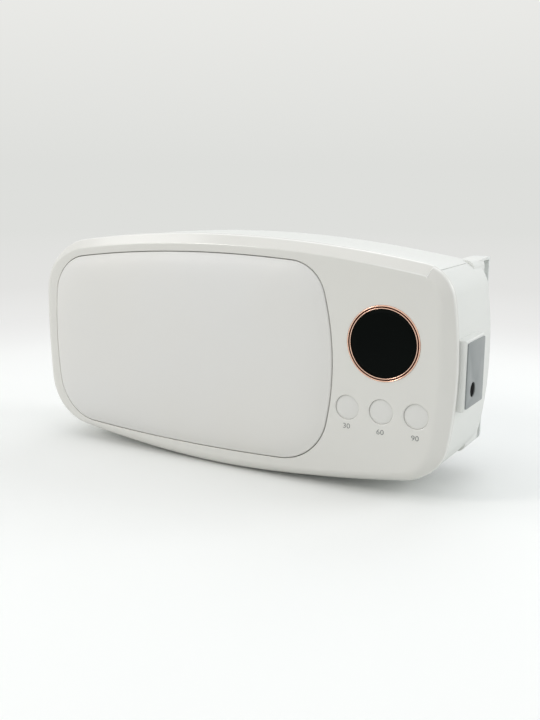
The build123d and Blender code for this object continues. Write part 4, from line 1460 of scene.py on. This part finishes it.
@dataclass(frozen=True)
class PushButtons:
    """Three push caps in round wells, with a printed number under each."""

    times: tuple[int, ...] = (30, 60, 90)
    places: tuple[float, ...] = (71.65, 89.0, 106.35)
    z: float = -18.4
    radius: float = 5.95
    gap: float = 0.07
    well_round: float = 0.5
    flange: float = 1.1
    flange_depth: float = 3.0
    flange_wall: float = 1.0
    stem_radius: float = 1.6
    stem_end: float = 7.298
    dome: float = 0.4
    dome_steps: int = 9
    sunk: float = 0.95
    brim: float = 0.2
    brim_steps: int = 5
    steps: int = 72
    number_height: float = 2.6
    number_drops: tuple[float, ...] = (9.2, 9.9, 10.4)

    def opening(self, x: float) -> Callable[[float], list[Flat]]:
        """Loop of the cover's well for the button at x, as a function of its growth."""
        return lambda growth: disc_loop(x, self.z, self.radius + self.gap + growth, self.steps)

    def cap_line(self, x: float) -> tuple[Flat, ...]:
        """Draw the section of one cap, from the middle of its crown round to the end of its stem.

        Args:
            x: the cap's distance to the right of the middle.

        Returns:
            Radius and depth behind the face of its points.
        """
        flat = self.radius - self.brim
        top = self.sunk - self.brim
        line = []
        for k in range(self.dome_steps + 1):
            share = k / self.dome_steps
            line.append((flat * share, top - self.dome * (1 - share**2)))
        for k in range(1, self.brim_steps + 1):
            angle = math.pi / 2 * k / self.brim_steps
            line.append((self.radius - self.brim * (1 - math.sin(angle)),
                         top + self.brim * (1 - math.cos(angle))))
        base = self.flange_depth
        wide = self.radius + self.flange
        end = self.stem_end - bow_depth(x)
        line += [(self.radius, base), (wide, base), (wide, base + self.flange_wall),
                 (self.stem_radius, base + self.flange_wall), (self.stem_radius, end), (0.0, end)]
        return tuple(line)

    def build(self) -> None:
        """Make the caps and their numbers."""
        for seconds, x, drop in zip(self.times, self.places, self.number_drops):
            node = f"button_{seconds}"
            Turned(x, self.z, self.cap_line(x), self.steps).build(
                Role(f"push_cap_{seconds}", FINISHES.button, node, "button", (node,), 50.0))
            Print(str(seconds), x, self.z - drop, self.number_height).build(f"number_{seconds}")


@dataclass(frozen=True)
class Print:
    """Plain numbers printed on the cover, a closed film a few hundredths of a millimetre thick."""

    words: str
    x: float
    z: float
    height: float
    size_per_height: float = 1.36
    stretch: float = 1.12
    half_film: float = 0.025
    stand: float = 0.02
    smoothness: int = 6

    def build(self, name: str) -> bpy.types.Object:
        """Print the numbers.

        Args:
            name: object name.

        Returns:
            The printed piece.
        """
        curve = bpy.data.curves.new(name, "FONT")
        curve.body = self.words
        curve.size = self.height * self.size_per_height
        curve.align_x = "CENTER"
        curve.align_y = "CENTER"
        curve.extrude = self.half_film
        curve.resolution_u = self.smoothness
        drawn = shown(name, curve)
        graph = bpy.context.evaluated_depsgraph_get()
        mesh = bpy.data.meshes.new_from_object(drawn.evaluated_get(graph))
        bpy.data.objects.remove(drawn)
        for vertex in mesh.vertices:
            across, up, lift = vertex.co
            depth = bow_depth(self.x + across) - self.stand - lift
            vertex.co = at(self.x + across * self.stretch, depth, self.z + up)
        tidy_mesh(mesh)
        made = shown(name, mesh)
        settle(made, Role(name, FINISHES.ink, "case", "cover"))
        return made


@dataclass(frozen=True)
class Case:
    """Housing, end feet and the parts inside that carry over from the part itself."""

    edge: float = 0.45
    edge_steps: int = 3
    inner_edge: float = 0.3
    seam_place: Flat = (112.0, 48.5)
    seam_out: Flat = (0.5, 0.866)
    seam_width: float = 0.3
    seam_reach: float = 0.12
    seam_stand: float = 3.0
    seam_span: Flat = (6.0, 60.0)
    foot_outer: float = 115.9
    foot_rear: float = 66.9
    tray_corner_width: float = 5.4
    slot_front: float = 64.0
    slot_inset: float = 1.2
    spare: float = 1.0
    slot_spans: tuple[Flat, ...] = ((-38.0, -10.75), (-9.25, 27.55), (29.05, 49.2))
    # The block that fills a foot's top outer corner, where it meets the housing and at its rear.
    corner_depth: float = 45.5
    corner_front: tuple[Flat, ...] = ((110.5, 50.2), (113.2, 48.6), (115.6, 45.0), (110.5, 45.0))
    corner_rear: tuple[Flat, ...] = ((110.5, 50.6), (115.9, 50.6), (115.9, 45.0), (110.5, 45.0))
    tray_corner: tuple[Flat, ...] = ((67.0, 50.6), (72.5, 50.6), (72.5, 46.0), (70.9, 46.0), (70.9, 49.2),
                                     (67.0, 49.2))

    def seam(self) -> bpy.types.Object:
        """Make the thin bar that cuts the parting seam over the housing's top right corner.

        Returns:
            The bar.
        """
        out = Vector(self.seam_out).normalized()
        side = Vector((out.y, -out.x)) * self.seam_width / 2
        middle = Vector(self.seam_place)
        high = middle + out * self.seam_stand
        low = middle - out * self.seam_reach
        ends = (high + side, high - side, low - side, low + side)
        return bar("seam_cutter", [(p.x, p.y) for p in ends], *self.seam_span)

    def squared(self, side: int, section: Sequence[Flat]) -> tuple[Shaping, bpy.types.Object]:
        """Block that squares the top outer corner of an end piece, on the left or right."""
        low, high = sorted((side * (self.foot_outer - self.tray_corner_width), side * self.foot_outer))
        return (Shaping.ADD, rail("corner_block", section, low, high))

    def foot_shaping(self, side: int) -> list[tuple[Shaping, bpy.types.Object]]:
        """Shape a foot's top outer corner and cut the slot along its rear edge.

        Args:
            side: -1 for the left foot, 1 for the right one.

        Returns:
            The solids that are added and cut out.
        """
        near = [at(side * x, self.corner_depth, z) for x, z in self.corner_front]
        far = [at(side * x, self.foot_rear, z) for x, z in self.corner_rear]
        made = [(Shaping.ADD, helper("corner_block", near, far))]
        ends = (self.foot_outer - self.slot_inset, self.foot_outer + self.spare)
        low, high = sorted(side * end for end in ends)
        for bottom, top in self.slot_spans:
            made.append((Shaping.CUT, box_bar("slot_cutter", (low, bottom), (high, top), self.slot_front,
                                              self.foot_rear + self.spare)))
        return made

    def build(self) -> None:
        """Make the soft-edged shells."""
        edge = (self.edge, self.edge_steps)
        softened("housing", FINISHES.housing, "housing", *edge, [(Shaping.CUT, self.seam())])
        softened("foot_left", FINISHES.foot, "foot", *edge, self.foot_shaping(-1))
        softened("foot_right", FINISHES.foot, "foot", *edge, self.foot_shaping(1))
        softened("base_tray", FINISHES.tray, "tray", *edge,
                 [self.squared(side, self.tray_corner) for side in (-1, 1)])
        softened("pad_board", FINISHES.carrier, "carrier", self.inner_edge)
        softened("reflector", FINISHES.reflector, "reflector", self.inner_edge)


@dataclass(frozen=True)
class PowerInlet:
    """Plate, jack and pin on the right end."""

    edge: float = 0.12
    pin_edge: float = 0.1

    def build(self) -> None:
        """Make the soft-edged pieces."""
        softened("socket_plate", FINISHES.plate, "plate", self.edge)
        softened("dc_jack", FINISHES.jack, "jack", self.edge)
        softened("jack_pin", FINISHES.pin, "pin", self.pin_edge)
        dress_node("power_lead", FINISHES.lead)


class Pattern:
    """Node tree that lays copies of one small shape, with named inputs for its sizes."""

    def __init__(self, name: str, inputs: dict[str, object]) -> None:
        """Start a tree.

        Args:
            name: name of the tree.
            inputs: name of each input, with its starting value.
        """
        self.tree = bpy.data.node_groups.new(name, "GeometryNodeTree")
        self.tree.interface.new_socket("Geometry", in_out="INPUT", socket_type="NodeSocketGeometry")
        self.tree.interface.new_socket("Geometry", in_out="OUTPUT", socket_type="NodeSocketGeometry")
        for label, value in inputs.items():
            kind = SOCKETS[type(value)]
            self.tree.interface.new_socket(label, in_out="INPUT", socket_type=kind).default_value = value
        self.tree.interface.new_socket("Finish", in_out="INPUT", socket_type="NodeSocketMaterial")
        self.given = add_node(self.tree, "NodeGroupInput").outputs

    def add(self, kind: str, inputs: dict | None = None, **settings) -> bpy.types.Node:
        """Add one node to the tree."""
        return add_node(self.tree, kind, inputs, **settings)

    def stud(self, sides: object, radius: object, height: object, edge: object,
             crown: object) -> bpy.types.Node:
        """Round stud that stands on its place: broken edges and a crowned top.

        Args:
            sides: faces round it.
            radius: its radius.
            height: its height at the rim.
            edge: width of its broken edges.
            crown: how much higher its middle is.

        Returns:
            The node that gives its mesh, upright on the tree's Z axis.
        """
        rod = self.add("GeometryNodeMeshCylinder", {
            "Vertices": sides, "Side Segments": 3, "Fill Segments": 4, "Radius": radius,
            "Depth": height}, fill_type="TRIANGLE_FAN")
        parts = self.add("ShaderNodeSeparateXYZ", {0: self.add("GeometryNodeInputPosition")}).outputs
        half = self.add(MATHS, {0: height, 1: 0.5}, operation="MULTIPLY")
        limit = self.add(MATHS, {0: height, 1: 0.4}, operation="MULTIPLY")
        away = self.add(MATHS, {0: parts[2]}, operation="ABSOLUTE")
        end = self.add(MATHS, {0: away, 1: limit}, operation="GREATER_THAN")
        top = self.add(MATHS, {0: parts[2], 1: limit}, operation="GREATER_THAN")
        sign = self.add(MATHS, {0: parts[2]}, operation="SIGN")
        squares = [self.add(MATHS, {0: value, 1: value}, operation="MULTIPLY")
                   for value in (parts[0], parts[1], radius)]
        reach = self.add(MATHS, {0: squares[0], 1: squares[1]}, operation="ADD")
        share = self.add(MATHS, {0: reach, 1: squares[2]}, operation="DIVIDE")
        room = self.add(MATHS, {0: 1.0, 1: share}, operation="SUBTRACT")
        crowned = self.add(MATHS, {0: top, 1: crown}, operation="MULTIPLY")
        lift = self.add(MATHS, {0: crowned, 1: room}, operation="MULTIPLY")
        at_end = self.add(MATHS, {0: sign, 1: half, 2: lift}, operation="MULTIPLY_ADD")
        side_half = self.add(MATHS, {0: half, 1: edge}, operation="SUBTRACT")
        at_side = self.add(MATHS, {0: sign, 1: side_half}, operation="MULTIPLY")
        step = self.add(MATHS, {0: at_end, 1: at_side}, operation="SUBTRACT")
        height_there = self.add(MATHS, {0: end, 1: step, 2: at_side}, operation="MULTIPLY_ADD")
        bevel = self.add(MATHS, {0: edge, 1: radius}, operation="DIVIDE")
        drawn_in = self.add(MATHS, {0: end, 1: bevel}, operation="MULTIPLY")
        pull = self.add(MATHS, {0: 1.0, 1: drawn_in}, operation="SUBTRACT")
        moved = self.add("ShaderNodeCombineXYZ", {
            0: self.add(MATHS, {0: parts[0], 1: pull}, operation="MULTIPLY"),
            1: self.add(MATHS, {0: parts[1], 1: pull}, operation="MULTIPLY"),
            2: self.add(MATHS, {0: height_there, 1: half}, operation="ADD")})
        return self.add("GeometryNodeSetPosition", {"Geometry": rod, "Position": moved})

    def finish(self, shape: bpy.types.Node, places: bpy.types.Node | bpy.types.NodeSocket,
               turn: bpy.types.NodeSocket | None = None) -> None:
        """Stand a shape on every place, facing rearwards, and end the tree.

        Args:
            shape: node that gives the mesh that is repeated.
            places: points that carry it.
            turn: turn of each copy about its own axis.
        """
        laid = self.add("GeometryNodeTransform", {"Geometry": shape, "Rotation": (-math.pi / 2, 0.0, 0.0)})
        inputs = {"Points": places, "Instance": laid}
        if turn:
            inputs["Rotation"] = self.add("ShaderNodeCombineXYZ", {1: turn})
        copies = self.add("GeometryNodeInstanceOnPoints", inputs)
        real = self.add("GeometryNodeRealizeInstances", {0: copies})
        dressed = self.add("GeometryNodeSetMaterial", {"Geometry": real, "Material": self.given["Finish"]})
        self.add("NodeGroupOutput", {0: dressed})

    def lay(self, role: Role, places: Sequence[Vector], values: dict[str, object]) -> bpy.types.Object:
        """Run the tree once and keep what it makes as one plain mesh.

        Args:
            role: what the copies are.
            places: points that carry them.
            values: value of each named input.

        Returns:
            The new object.
        """
        mesh = bpy.data.meshes.new(role.name)
        mesh.from_pydata(list(places), [], [])
        made = shown(role.name, mesh)
        laid = made.modifiers.new("pattern", "NODES")
        laid.node_group = self.tree
        known = {item.name: item.identifier for item in self.tree.interface.items_tree
                 if item.item_type == "SOCKET" and item.in_out == "INPUT"}
        for label, value in {**values, "Finish": role.finish.build()}.items():
            laid[known[label]] = value
        bake_modifiers(made)
        settle(made, role)
        return made


def stud_pattern() -> Pattern:
    """Plant the tree for magnets, discs and rubber feet: one stud on each point.

    Returns:
        The tree.
    """
    made = Pattern("studs_on_points", {
        "Sides": 48, "Radius": 0.003, "Height": 0.003, "Edge": 0.0002, "Crown": 0.0})
    given = made.given
    shape = made.stud(given["Sides"], given["Radius"], given["Height"], given["Edge"], given["Crown"])
    made.finish(shape, given["Geometry"])
    return made


def light_pattern() -> Pattern:
    """Plant the tree for the lights: a grid of small domes.

    Returns:
        The tree.
    """
    made = Pattern("lights_in_rows", {
        "Columns": 9, "Rows": 4, "Column Pitch": 0.02, "Row Pitch": 0.016, "Middle": (0.0, 0.0, 0.0),
        "Sides": 20, "Radius": 0.0024, "Height": 0.0008, "Edge": 0.0001, "Crown": 0.0014})
    given = made.given
    spans = []
    for count, pitch in (("Columns", "Column Pitch"), ("Rows", "Row Pitch")):
        gaps = made.add(MATHS, {0: given[count], 1: 1.0}, operation="SUBTRACT")
        spans.append(made.add(MATHS, {0: gaps, 1: given[pitch]}, operation="MULTIPLY"))
    grid = made.add("GeometryNodeMeshGrid", {
        "Size X": spans[0], "Size Y": spans[1], "Vertices X": given["Columns"],
        "Vertices Y": given["Rows"]})
    upright = made.add("GeometryNodeTransform", {
        "Geometry": grid, "Translation": given["Middle"], "Rotation": (math.pi / 2, 0.0, 0.0)})
    shape = made.stud(given["Sides"], given["Radius"], given["Height"], given["Edge"], given["Crown"])
    made.finish(shape, upright)
    return made


def screw_pattern() -> Pattern:
    """Plant the tree for pan-head screws: a crowned head with a cross recess, a thread and a random turn.

    Returns:
        The tree.
    """
    made = Pattern("pan_head_screws", {
        "Head Sides": 32, "Head Radius": 0.0023, "Head Height": 0.0018, "Recess Length": 0.0026,
        "Recess Width": 0.0005, "Recess Depth": 0.0009, "Shank Radius": 0.0012, "Shank Length": 0.006,
        "Thread Pitch": 0.001, "Thread Height": 0.0003, "Point Share": 0.35, "Seed": 7})
    given = made.given
    crown = made.add(MATHS, {0: given["Head Height"], 1: 0.3}, operation="MULTIPLY")
    rim = made.add(MATHS, {0: given["Head Height"], 1: crown}, operation="SUBTRACT")
    edge = made.add(MATHS, {0: rim, 1: 0.2}, operation="MULTIPLY")
    head = made.stud(given["Head Sides"], given["Head Radius"], rim, edge, crown)
    floor = made.add(MATHS, {0: given["Head Height"], 1: given["Recess Depth"]}, operation="SUBTRACT")
    middle = made.add(MATHS, {0: floor, 1: given["Head Height"]}, operation="ADD")
    tall = made.add(MATHS, {0: given["Head Height"], 1: 2.0}, operation="MULTIPLY")
    slots = made.add("GeometryNodeJoinGeometry")
    for first, second in (("Recess Length", "Recess Width"), ("Recess Width", "Recess Length")):
        size = made.add("ShaderNodeCombineXYZ", {0: given[first], 1: given[second], 2: tall})
        cube = made.add("GeometryNodeMeshCube", {"Size": size})
        lifted = made.add("GeometryNodeTransform", {
            "Geometry": cube, "Translation": made.add("ShaderNodeCombineXYZ", {2: middle})})
        feed(made.tree, slots, {0: lifted})
    cut = made.add("GeometryNodeMeshBoolean", {0: head, 1: slots, "Self Intersection": True},
                   operation="DIFFERENCE", solver="EXACT")
    rod = made.add("GeometryNodeMeshCylinder", {
        "Vertices": 14, "Side Segments": 48, "Fill Segments": 1, "Radius": given["Shank Radius"],
        "Depth": given["Shank Length"]}, fill_type="TRIANGLE_FAN")
    parts = made.add("ShaderNodeSeparateXYZ", {0: made.add("GeometryNodeInputPosition")}).outputs
    round_way = made.add(MATHS, {0: parts[1], 1: parts[0]}, operation="ARCTAN2")
    threads = made.add(MATHS, {0: parts[2], 1: given["Thread Pitch"]}, operation="DIVIDE")
    along = made.add(MATHS, {0: threads, 1: 2 * math.pi}, operation="MULTIPLY")
    phase = made.add(MATHS, {0: along, 1: round_way}, operation="ADD")
    wave = made.add(MATHS, {0: phase}, operation="SINE")
    sunk = made.add(MATHS, {0: wave, 1: 0.5, 2: -0.5}, operation="MULTIPLY_ADD")
    thread = made.add(MATHS, {0: given["Thread Height"], 1: given["Shank Radius"]}, operation="DIVIDE")
    dip = made.add(MATHS, {0: sunk, 1: thread}, operation="MULTIPLY")
    half = made.add(MATHS, {0: given["Shank Length"], 1: 0.5}, operation="MULTIPLY")
    below = made.add(MATHS, {0: parts[2], 1: half}, operation="ADD")
    point = made.add("ShaderNodeMapRange", {
        "Value": below, "From Max": given["Shank Radius"], "To Min": given["Point Share"]})
    width = made.add(MATHS, {0: 1.0, 1: dip}, operation="ADD")
    scale = made.add(MATHS, {0: width, 1: point}, operation="MULTIPLY")
    moved = made.add("ShaderNodeCombineXYZ", {
        0: made.add(MATHS, {0: parts[0], 1: scale}, operation="MULTIPLY"),
        1: made.add(MATHS, {0: parts[1], 1: scale}, operation="MULTIPLY"),
        2: made.add(MATHS, {0: below, 1: given["Shank Length"]}, operation="SUBTRACT")})
    shank = made.add("GeometryNodeSetPosition", {"Geometry": rod, "Position": moved})
    whole = made.add("GeometryNodeJoinGeometry")
    for piece in (cut, shank):
        feed(made.tree, whole, {0: piece})
    # The third and fourth inputs of the random node are its least and its greatest number.
    turn = made.add("FunctionNodeRandomValue", {2: 0.0, 3: 2 * math.pi, "Seed": given["Seed"]},
                    data_type="FLOAT")
    made.finish(whole, given["Geometry"], turn.outputs[1])
    return made


@dataclass(frozen=True)
class Fasteners:
    """Screws, magnets, catch discs and rubber feet."""

    case_places: tuple[Flat, ...] = ((70, 45), (70, -45), (113.5, 28), (113.5, -28), (-98, 34), (-98, -34),
                                     (-12, 40), (-12, -40))
    board_places: tuple[Flat, ...] = ((68, 34), (68, -30), (106, 34), (106, -30))
    foot_places: tuple[Flat, ...] = ((111.6, 18), (111.6, -18), (-111.6, 18), (-111.6, -18))
    lamp_places: tuple[Flat, ...] = ((86, 30), (86, -30), (-86, 30), (-86, -30))
    magnet_places: tuple[Flat, ...] = ((111.6, 36), (111.6, -36), (-111.6, 36), (-111.6, -36))
    rubber_places: tuple[Flat, ...] = ((98, 30), (98, -30), (-98, 30), (-98, -30))
    # Depth of the screws' heads and length of their shanks, for case, boards, feet and lamp board.
    heads: tuple[float, ...] = (17.998, 13.098, 31.798, 23.298)
    grips: tuple[float, ...] = (7.0, 4.4, 6.8, 7.3)
    tray_front: float = 66.9
    tray_rear: float = 72.5
    disc_gap: float = 0.1
    magnet: Flat = (3.0, 3.0)
    disc: Flat = (3.0, 1.0)
    rubber: Flat = (5.0, 1.0)
    magnet_edge: float = 0.25
    disc_edge: float = 0.12
    rubber_edge: float = 0.25

    def build(self) -> None:
        """Lay every fastener."""
        screws = screw_pattern()
        names = ("case_screws", "board_screws", "foot_screws", "led_screws")
        rows = (self.case_places, self.board_places, self.foot_places, self.lamp_places)
        for name, row, head, grip in zip(names, rows, self.heads, self.grips):
            role = Role(f"{name}_pan_head", FINISHES.steel, "case", "steel", (name,), CRISP_ANGLE)
            screws.lay(role, [at(x, head, z) for x, z in row], {"Shank Length": grip / MM_PER_M})
        studs = stud_pattern()
        rows = (
            (Role("magnets_plated", FINISHES.magnet, "case", "magnet", ("tray_magnets",), CRISP_ANGLE),
             self.magnet_places, self.tray_front - self.magnet[1], self.magnet, self.magnet_edge),
            (Role("catch_discs_rolled", FINISHES.disc, "tray", "disc", ("catch_discs",), CRISP_ANGLE),
             self.magnet_places, self.tray_front + self.disc_gap, self.disc, self.disc_edge),
            (Role("rubber_feet_crowned", FINISHES.rubber, "tray", "grip", ("rubber_feet",), CRISP_ANGLE),
             self.rubber_places, self.tray_rear, self.rubber, self.rubber_edge),
        )
        for role, row, depth, (radius, height), edge in rows:
            values = {"Radius": radius / MM_PER_M, "Height": height / MM_PER_M, "Edge": edge / MM_PER_M}
            studs.lay(role, [at(x, depth, z) for x, z in row], values)


@dataclass(frozen=True)
class Lights:
    """Small domes in rows on the lamp board, over the hand space."""

    board_rear: float = 22.098
    radius: float = 2.4
    rim: float = 0.8
    crown: float = 1.4

    def build(self) -> None:
        """Lay the lights."""
        middle = at(0.0, self.board_rear, 0.0)
        values = {"Middle": middle, "Radius": self.radius / MM_PER_M, "Height": self.rim / MM_PER_M,
                  "Crown": self.crown / MM_PER_M}
        role = Role("light_domes", FINISHES.led, "case", "led", ("led_beads",), 60.0)
        light_pattern().lay(role, [middle], values)


@dataclass(frozen=True)
class Electronics:
    """Boards, switches and cable that keep the part's own shapes."""

    kept: dict[str, Finish] = field(default_factory=lambda: {
        "display_module": FINISHES.module,
        "switch_bodies": FINISHES.switch,
        "switch_plunger_30": FINISHES.plunger,
        "switch_plunger_60": FINISHES.plunger,
        "switch_plunger_90": FINISHES.plunger,
        "control_board": FINISHES.board,
        "led_board": FINISHES.lamp_board,
        "hand_sensor": FINISHES.sensor,
        "ribbon_cable": FINISHES.ribbon,
        "cable_connectors": FINISHES.connector,
    })

    def build(self) -> None:
        """Dress the nodes that keep their shape."""
        for node, finish in self.kept.items():
            dress_node(node, finish)


def seen_directly(tree: bpy.types.NodeTree) -> bpy.types.Node:
    """Tell what is seen directly from what only receives its light.

    Args:
        tree: node tree that needs to know.

    Returns:
        The node that gives one for what the camera, a reflection or a clear piece shows.
    """
    path = add_node(tree, "ShaderNodeLightPath").outputs
    seen = add_node(tree, MATHS, {0: path["Is Camera Ray"], 1: path["Is Glossy Ray"]}, operation="MAXIMUM")
    return add_node(tree, MATHS, {0: seen, 1: path["Is Transmission Ray"]}, operation="MAXIMUM")


@dataclass(frozen=True)
class Studio:
    """Pale floor, soft lights and the camera, in metres."""

    camera_place: Place = (0.2502, -0.4125, 0.1567)
    camera_way: Place = (-0.4957, 0.842, -0.2126)
    camera_roll: float = 0.0042
    lens: float = 45.0
    sensor: float = 36.0
    shift: Flat = (-0.000125, 0.00114)
    floor_half: float = 30.0
    floor_cells: int = 8
    paper_cloud_mm: float = 250 / 3
    paper: tuple[str, str, str] = ("#F9FAF8", "#F7F8F6", "#D8D9D6")
    backdrop_from: Flat = (0.2, 0.5)
    backdrop_reach: float = 2.0
    # Emitted tone of the floor by distance from the lamp: near white close by, greyer further off, a painted
    # fall-off of the light on the paper.
    backdrop: tuple[tuple[float, str], ...] = (
        (0.0, "#FCFCFA"), (0.12, "#FAFAF8"), (0.19, "#EEEEED"), (0.38, "#E3E3E1"), (0.9, "#DEDFDC"))
    # Backdrop tone from the horizon upwards: greyer low, lighter higher, painted light on the backdrop.
    wall: tuple[str, str] = ("#DEDFDC", "#ECECE9")
    wall_rise: float = 0.2
    room: str = "#E8EAEC"
    room_strength: float = 0.69
    aim: Place = (0.0, 0.0, 0.06)
    # Each soft light: its name, place, width and height, power in watts and colour.
    softboxes: tuple[tuple[str, Place, Flat, float, str], ...] = (
        ("overhead", (-0.15, -0.1, 1.3), (1.3, 1.1), 2.8, "#FFFFFF"),
        ("front_left", (-1.1, -1.2, 1.0), (0.45, 0.55), 8.4, "#FFFCF8"),
        ("right_rear", (1.3, 0.8, 0.8), (0.8, 0.8), 7.4, "#FBFDFF"),
        ("right", (1.35, -0.35, 0.5), (0.8, 0.8), 1.4, "#FFFFFF"),
        ("front_low", (-0.2, -1.5, 0.45), (1.0, 0.6), 0.6, "#FFFFFF"),
        ("rear_top", (0.0, 1.0, 1.2), (1.0, 0.8), 2.9, "#FBFDFF"),
        ("glint", (-1.08, -0.28, 1.19), (0.4, 0.4), 1.15, "#FFFFFF"),
    )

    def floor(self) -> None:
        """Lay a large pale floor that keeps the shadow."""
        grid = bmesh.new()
        bmesh.ops.create_grid(grid, x_segments=self.floor_cells, y_segments=self.floor_cells,
                              size=self.floor_half)
        mesh = bpy.data.meshes.new("studio_floor")
        grid.to_mesh(mesh)
        grid.free()
        mesh.materials.append(self.sweep())
        shown("studio_floor", mesh)

    def sweep(self) -> bpy.types.Material:
        """Make the floor's paper: it takes the shadow near the lamp, and further off it shows a backdrop
        tone that greys with distance, a painted fall-off of light.

        Returns:
            The material.
        """
        material = bpy.data.materials.new("paper_sweep_white")
        material.use_nodes = True
        tree = material.node_tree
        tree.nodes.clear()
        place = add_node(tree, "ShaderNodeTexCoord").outputs["Object"]
        light, cloud, bounced = (linear(colour) for colour in self.paper)
        grain = add_node(tree, "ShaderNodeTexNoise", {
            "Vector": place, "Scale": MM_PER_M / self.paper_cloud_mm, "Detail": 2.0})
        tone = add_node(tree, "ShaderNodeMix", {
            MIX_SHARE: grain.outputs["Fac"], MIX_FIRST: light, MIX_SECOND: cloud}, data_type="RGBA")
        bounce = add_node(tree, "ShaderNodeLightPath")
        tone = add_node(tree, "ShaderNodeMix", {
            MIX_SHARE: bounce.outputs["Is Diffuse Ray"], MIX_FIRST: tone.outputs[MIX_RESULT],
            MIX_SECOND: bounced}, data_type="RGBA")
        paper = add_node(tree, "ShaderNodeBsdfPrincipled", {
            "Base Color": tone.outputs[MIX_RESULT], "Roughness": 0.7, "Specular IOR Level": 0.2})
        reach = add_node(tree, "ShaderNodeVectorMath", {0: place}, operation="LENGTH")
        span = add_node(tree, "ShaderNodeMapRange", {
            "Value": reach.outputs["Value"], "From Min": 0.0, "From Max": self.backdrop_reach})
        far = add_node(tree, "ShaderNodeValToRGB", {0: span})
        stops = far.color_ramp.elements
        while len(stops) < len(self.backdrop):
            stops.new(0.5)
        for stop, (share, colour) in zip(stops, self.backdrop):
            stop.position = share
            stop.color = linear(colour)
        glow = add_node(tree, "ShaderNodeEmission", {"Color": far.outputs["Color"], "Strength": 1.0})
        near, clear = self.backdrop_from
        away = add_node(tree, "ShaderNodeMapRange", {
            "Value": reach.outputs["Value"], "From Min": near, "From Max": clear},
            interpolation_type="SMOOTHSTEP")
        share = add_node(tree, MATHS, {0: away, 1: seen_directly(tree)}, operation="MULTIPLY")
        both = add_node(tree, "ShaderNodeMixShader", {0: share, 1: paper, 2: glow})
        add_node(tree, "ShaderNodeOutputMaterial", {"Surface": both})
        return material

    def world(self) -> None:
        """Give the backdrop a tone that lightens upwards, painted light on a backdrop wall, and the room its
        soft light.
        """
        world = bpy.data.worlds.new("studio_room")
        bpy.context.scene.world = world
        world.use_nodes = True
        tree = world.node_tree
        tree.nodes.clear()
        room = add_node(tree, "ShaderNodeBackground", {
            "Color": linear(self.room), "Strength": self.room_strength})
        way = add_node(tree, "ShaderNodeTexCoord").outputs["Generated"]
        height = add_node(tree, "ShaderNodeSeparateXYZ", {0: way})
        rise = add_node(tree, "ShaderNodeMapRange", {
            "Value": height.outputs["Z"], "From Min": 0.0, "From Max": self.wall_rise})
        low, high = (linear(colour) for colour in self.wall)
        tone = add_node(tree, "ShaderNodeMix", {MIX_SHARE: rise, MIX_FIRST: low, MIX_SECOND: high},
                        data_type="RGBA")
        wall = add_node(tree, "ShaderNodeBackground", {"Color": tone.outputs[MIX_RESULT], "Strength": 1.0})
        both = add_node(tree, "ShaderNodeMixShader", {0: seen_directly(tree), 1: room, 2: wall})
        add_node(tree, "ShaderNodeOutputWorld", {"Surface": both})

    def hang(self) -> None:
        """Hang the soft lights, each looking at the lamp."""
        for name, place, size, power, colour in self.softboxes:
            light = bpy.data.lights.new(name, "AREA")
            light.shape = "RECTANGLE"
            light.size, light.size_y = size
            light.energy = power
            light.color = linear(colour)[:3]
            made = shown(name, light)
            made.location = place
            made.rotation_euler = (Vector(self.aim) - Vector(place)).to_track_quat("-Z", "Y").to_euler()

    def camera(self) -> None:
        """Place the camera."""
        data = bpy.data.cameras.new("view")
        data.lens = self.lens
        data.sensor_width = self.sensor
        data.sensor_fit = "AUTO"
        data.shift_x, data.shift_y = self.shift
        made = shown("view", data)
        way = Vector(self.camera_way).normalized()
        turn = way.to_track_quat("-Z", "Y").to_matrix() @ Matrix.Rotation(self.camera_roll, 3, "Z")
        made.matrix_world = Matrix.Translation(Vector(self.camera_place)) @ turn.to_4x4()
        bpy.context.scene.camera = made

    def build(self) -> None:
        """Set up the studio."""
        bpy.context.scene.view_settings.view_transform = "Standard"
        self.floor()
        self.world()
        self.hang()
        self.camera()


def main() -> None:
    """Build the lamp and the studio."""
    logging.basicConfig(level=logging.INFO, format="%(name)s %(message)s")
    pad = HandPad()
    display = Display()
    buttons = PushButtons()
    openings = [(pad.opening, pad.opening_round), (display.opening, display.opening_round)]
    openings += [(buttons.opening(x), buttons.well_round) for x in buttons.places]
    TopCover().build(openings)
    pad.build()
    display.build()
    buttons.build()
    Case().build()
    PowerInlet().build()
    Electronics().build()
    Lights().build()
    Fasteners().build()
    Studio().build()


if __name__ == "__main__":
    main()
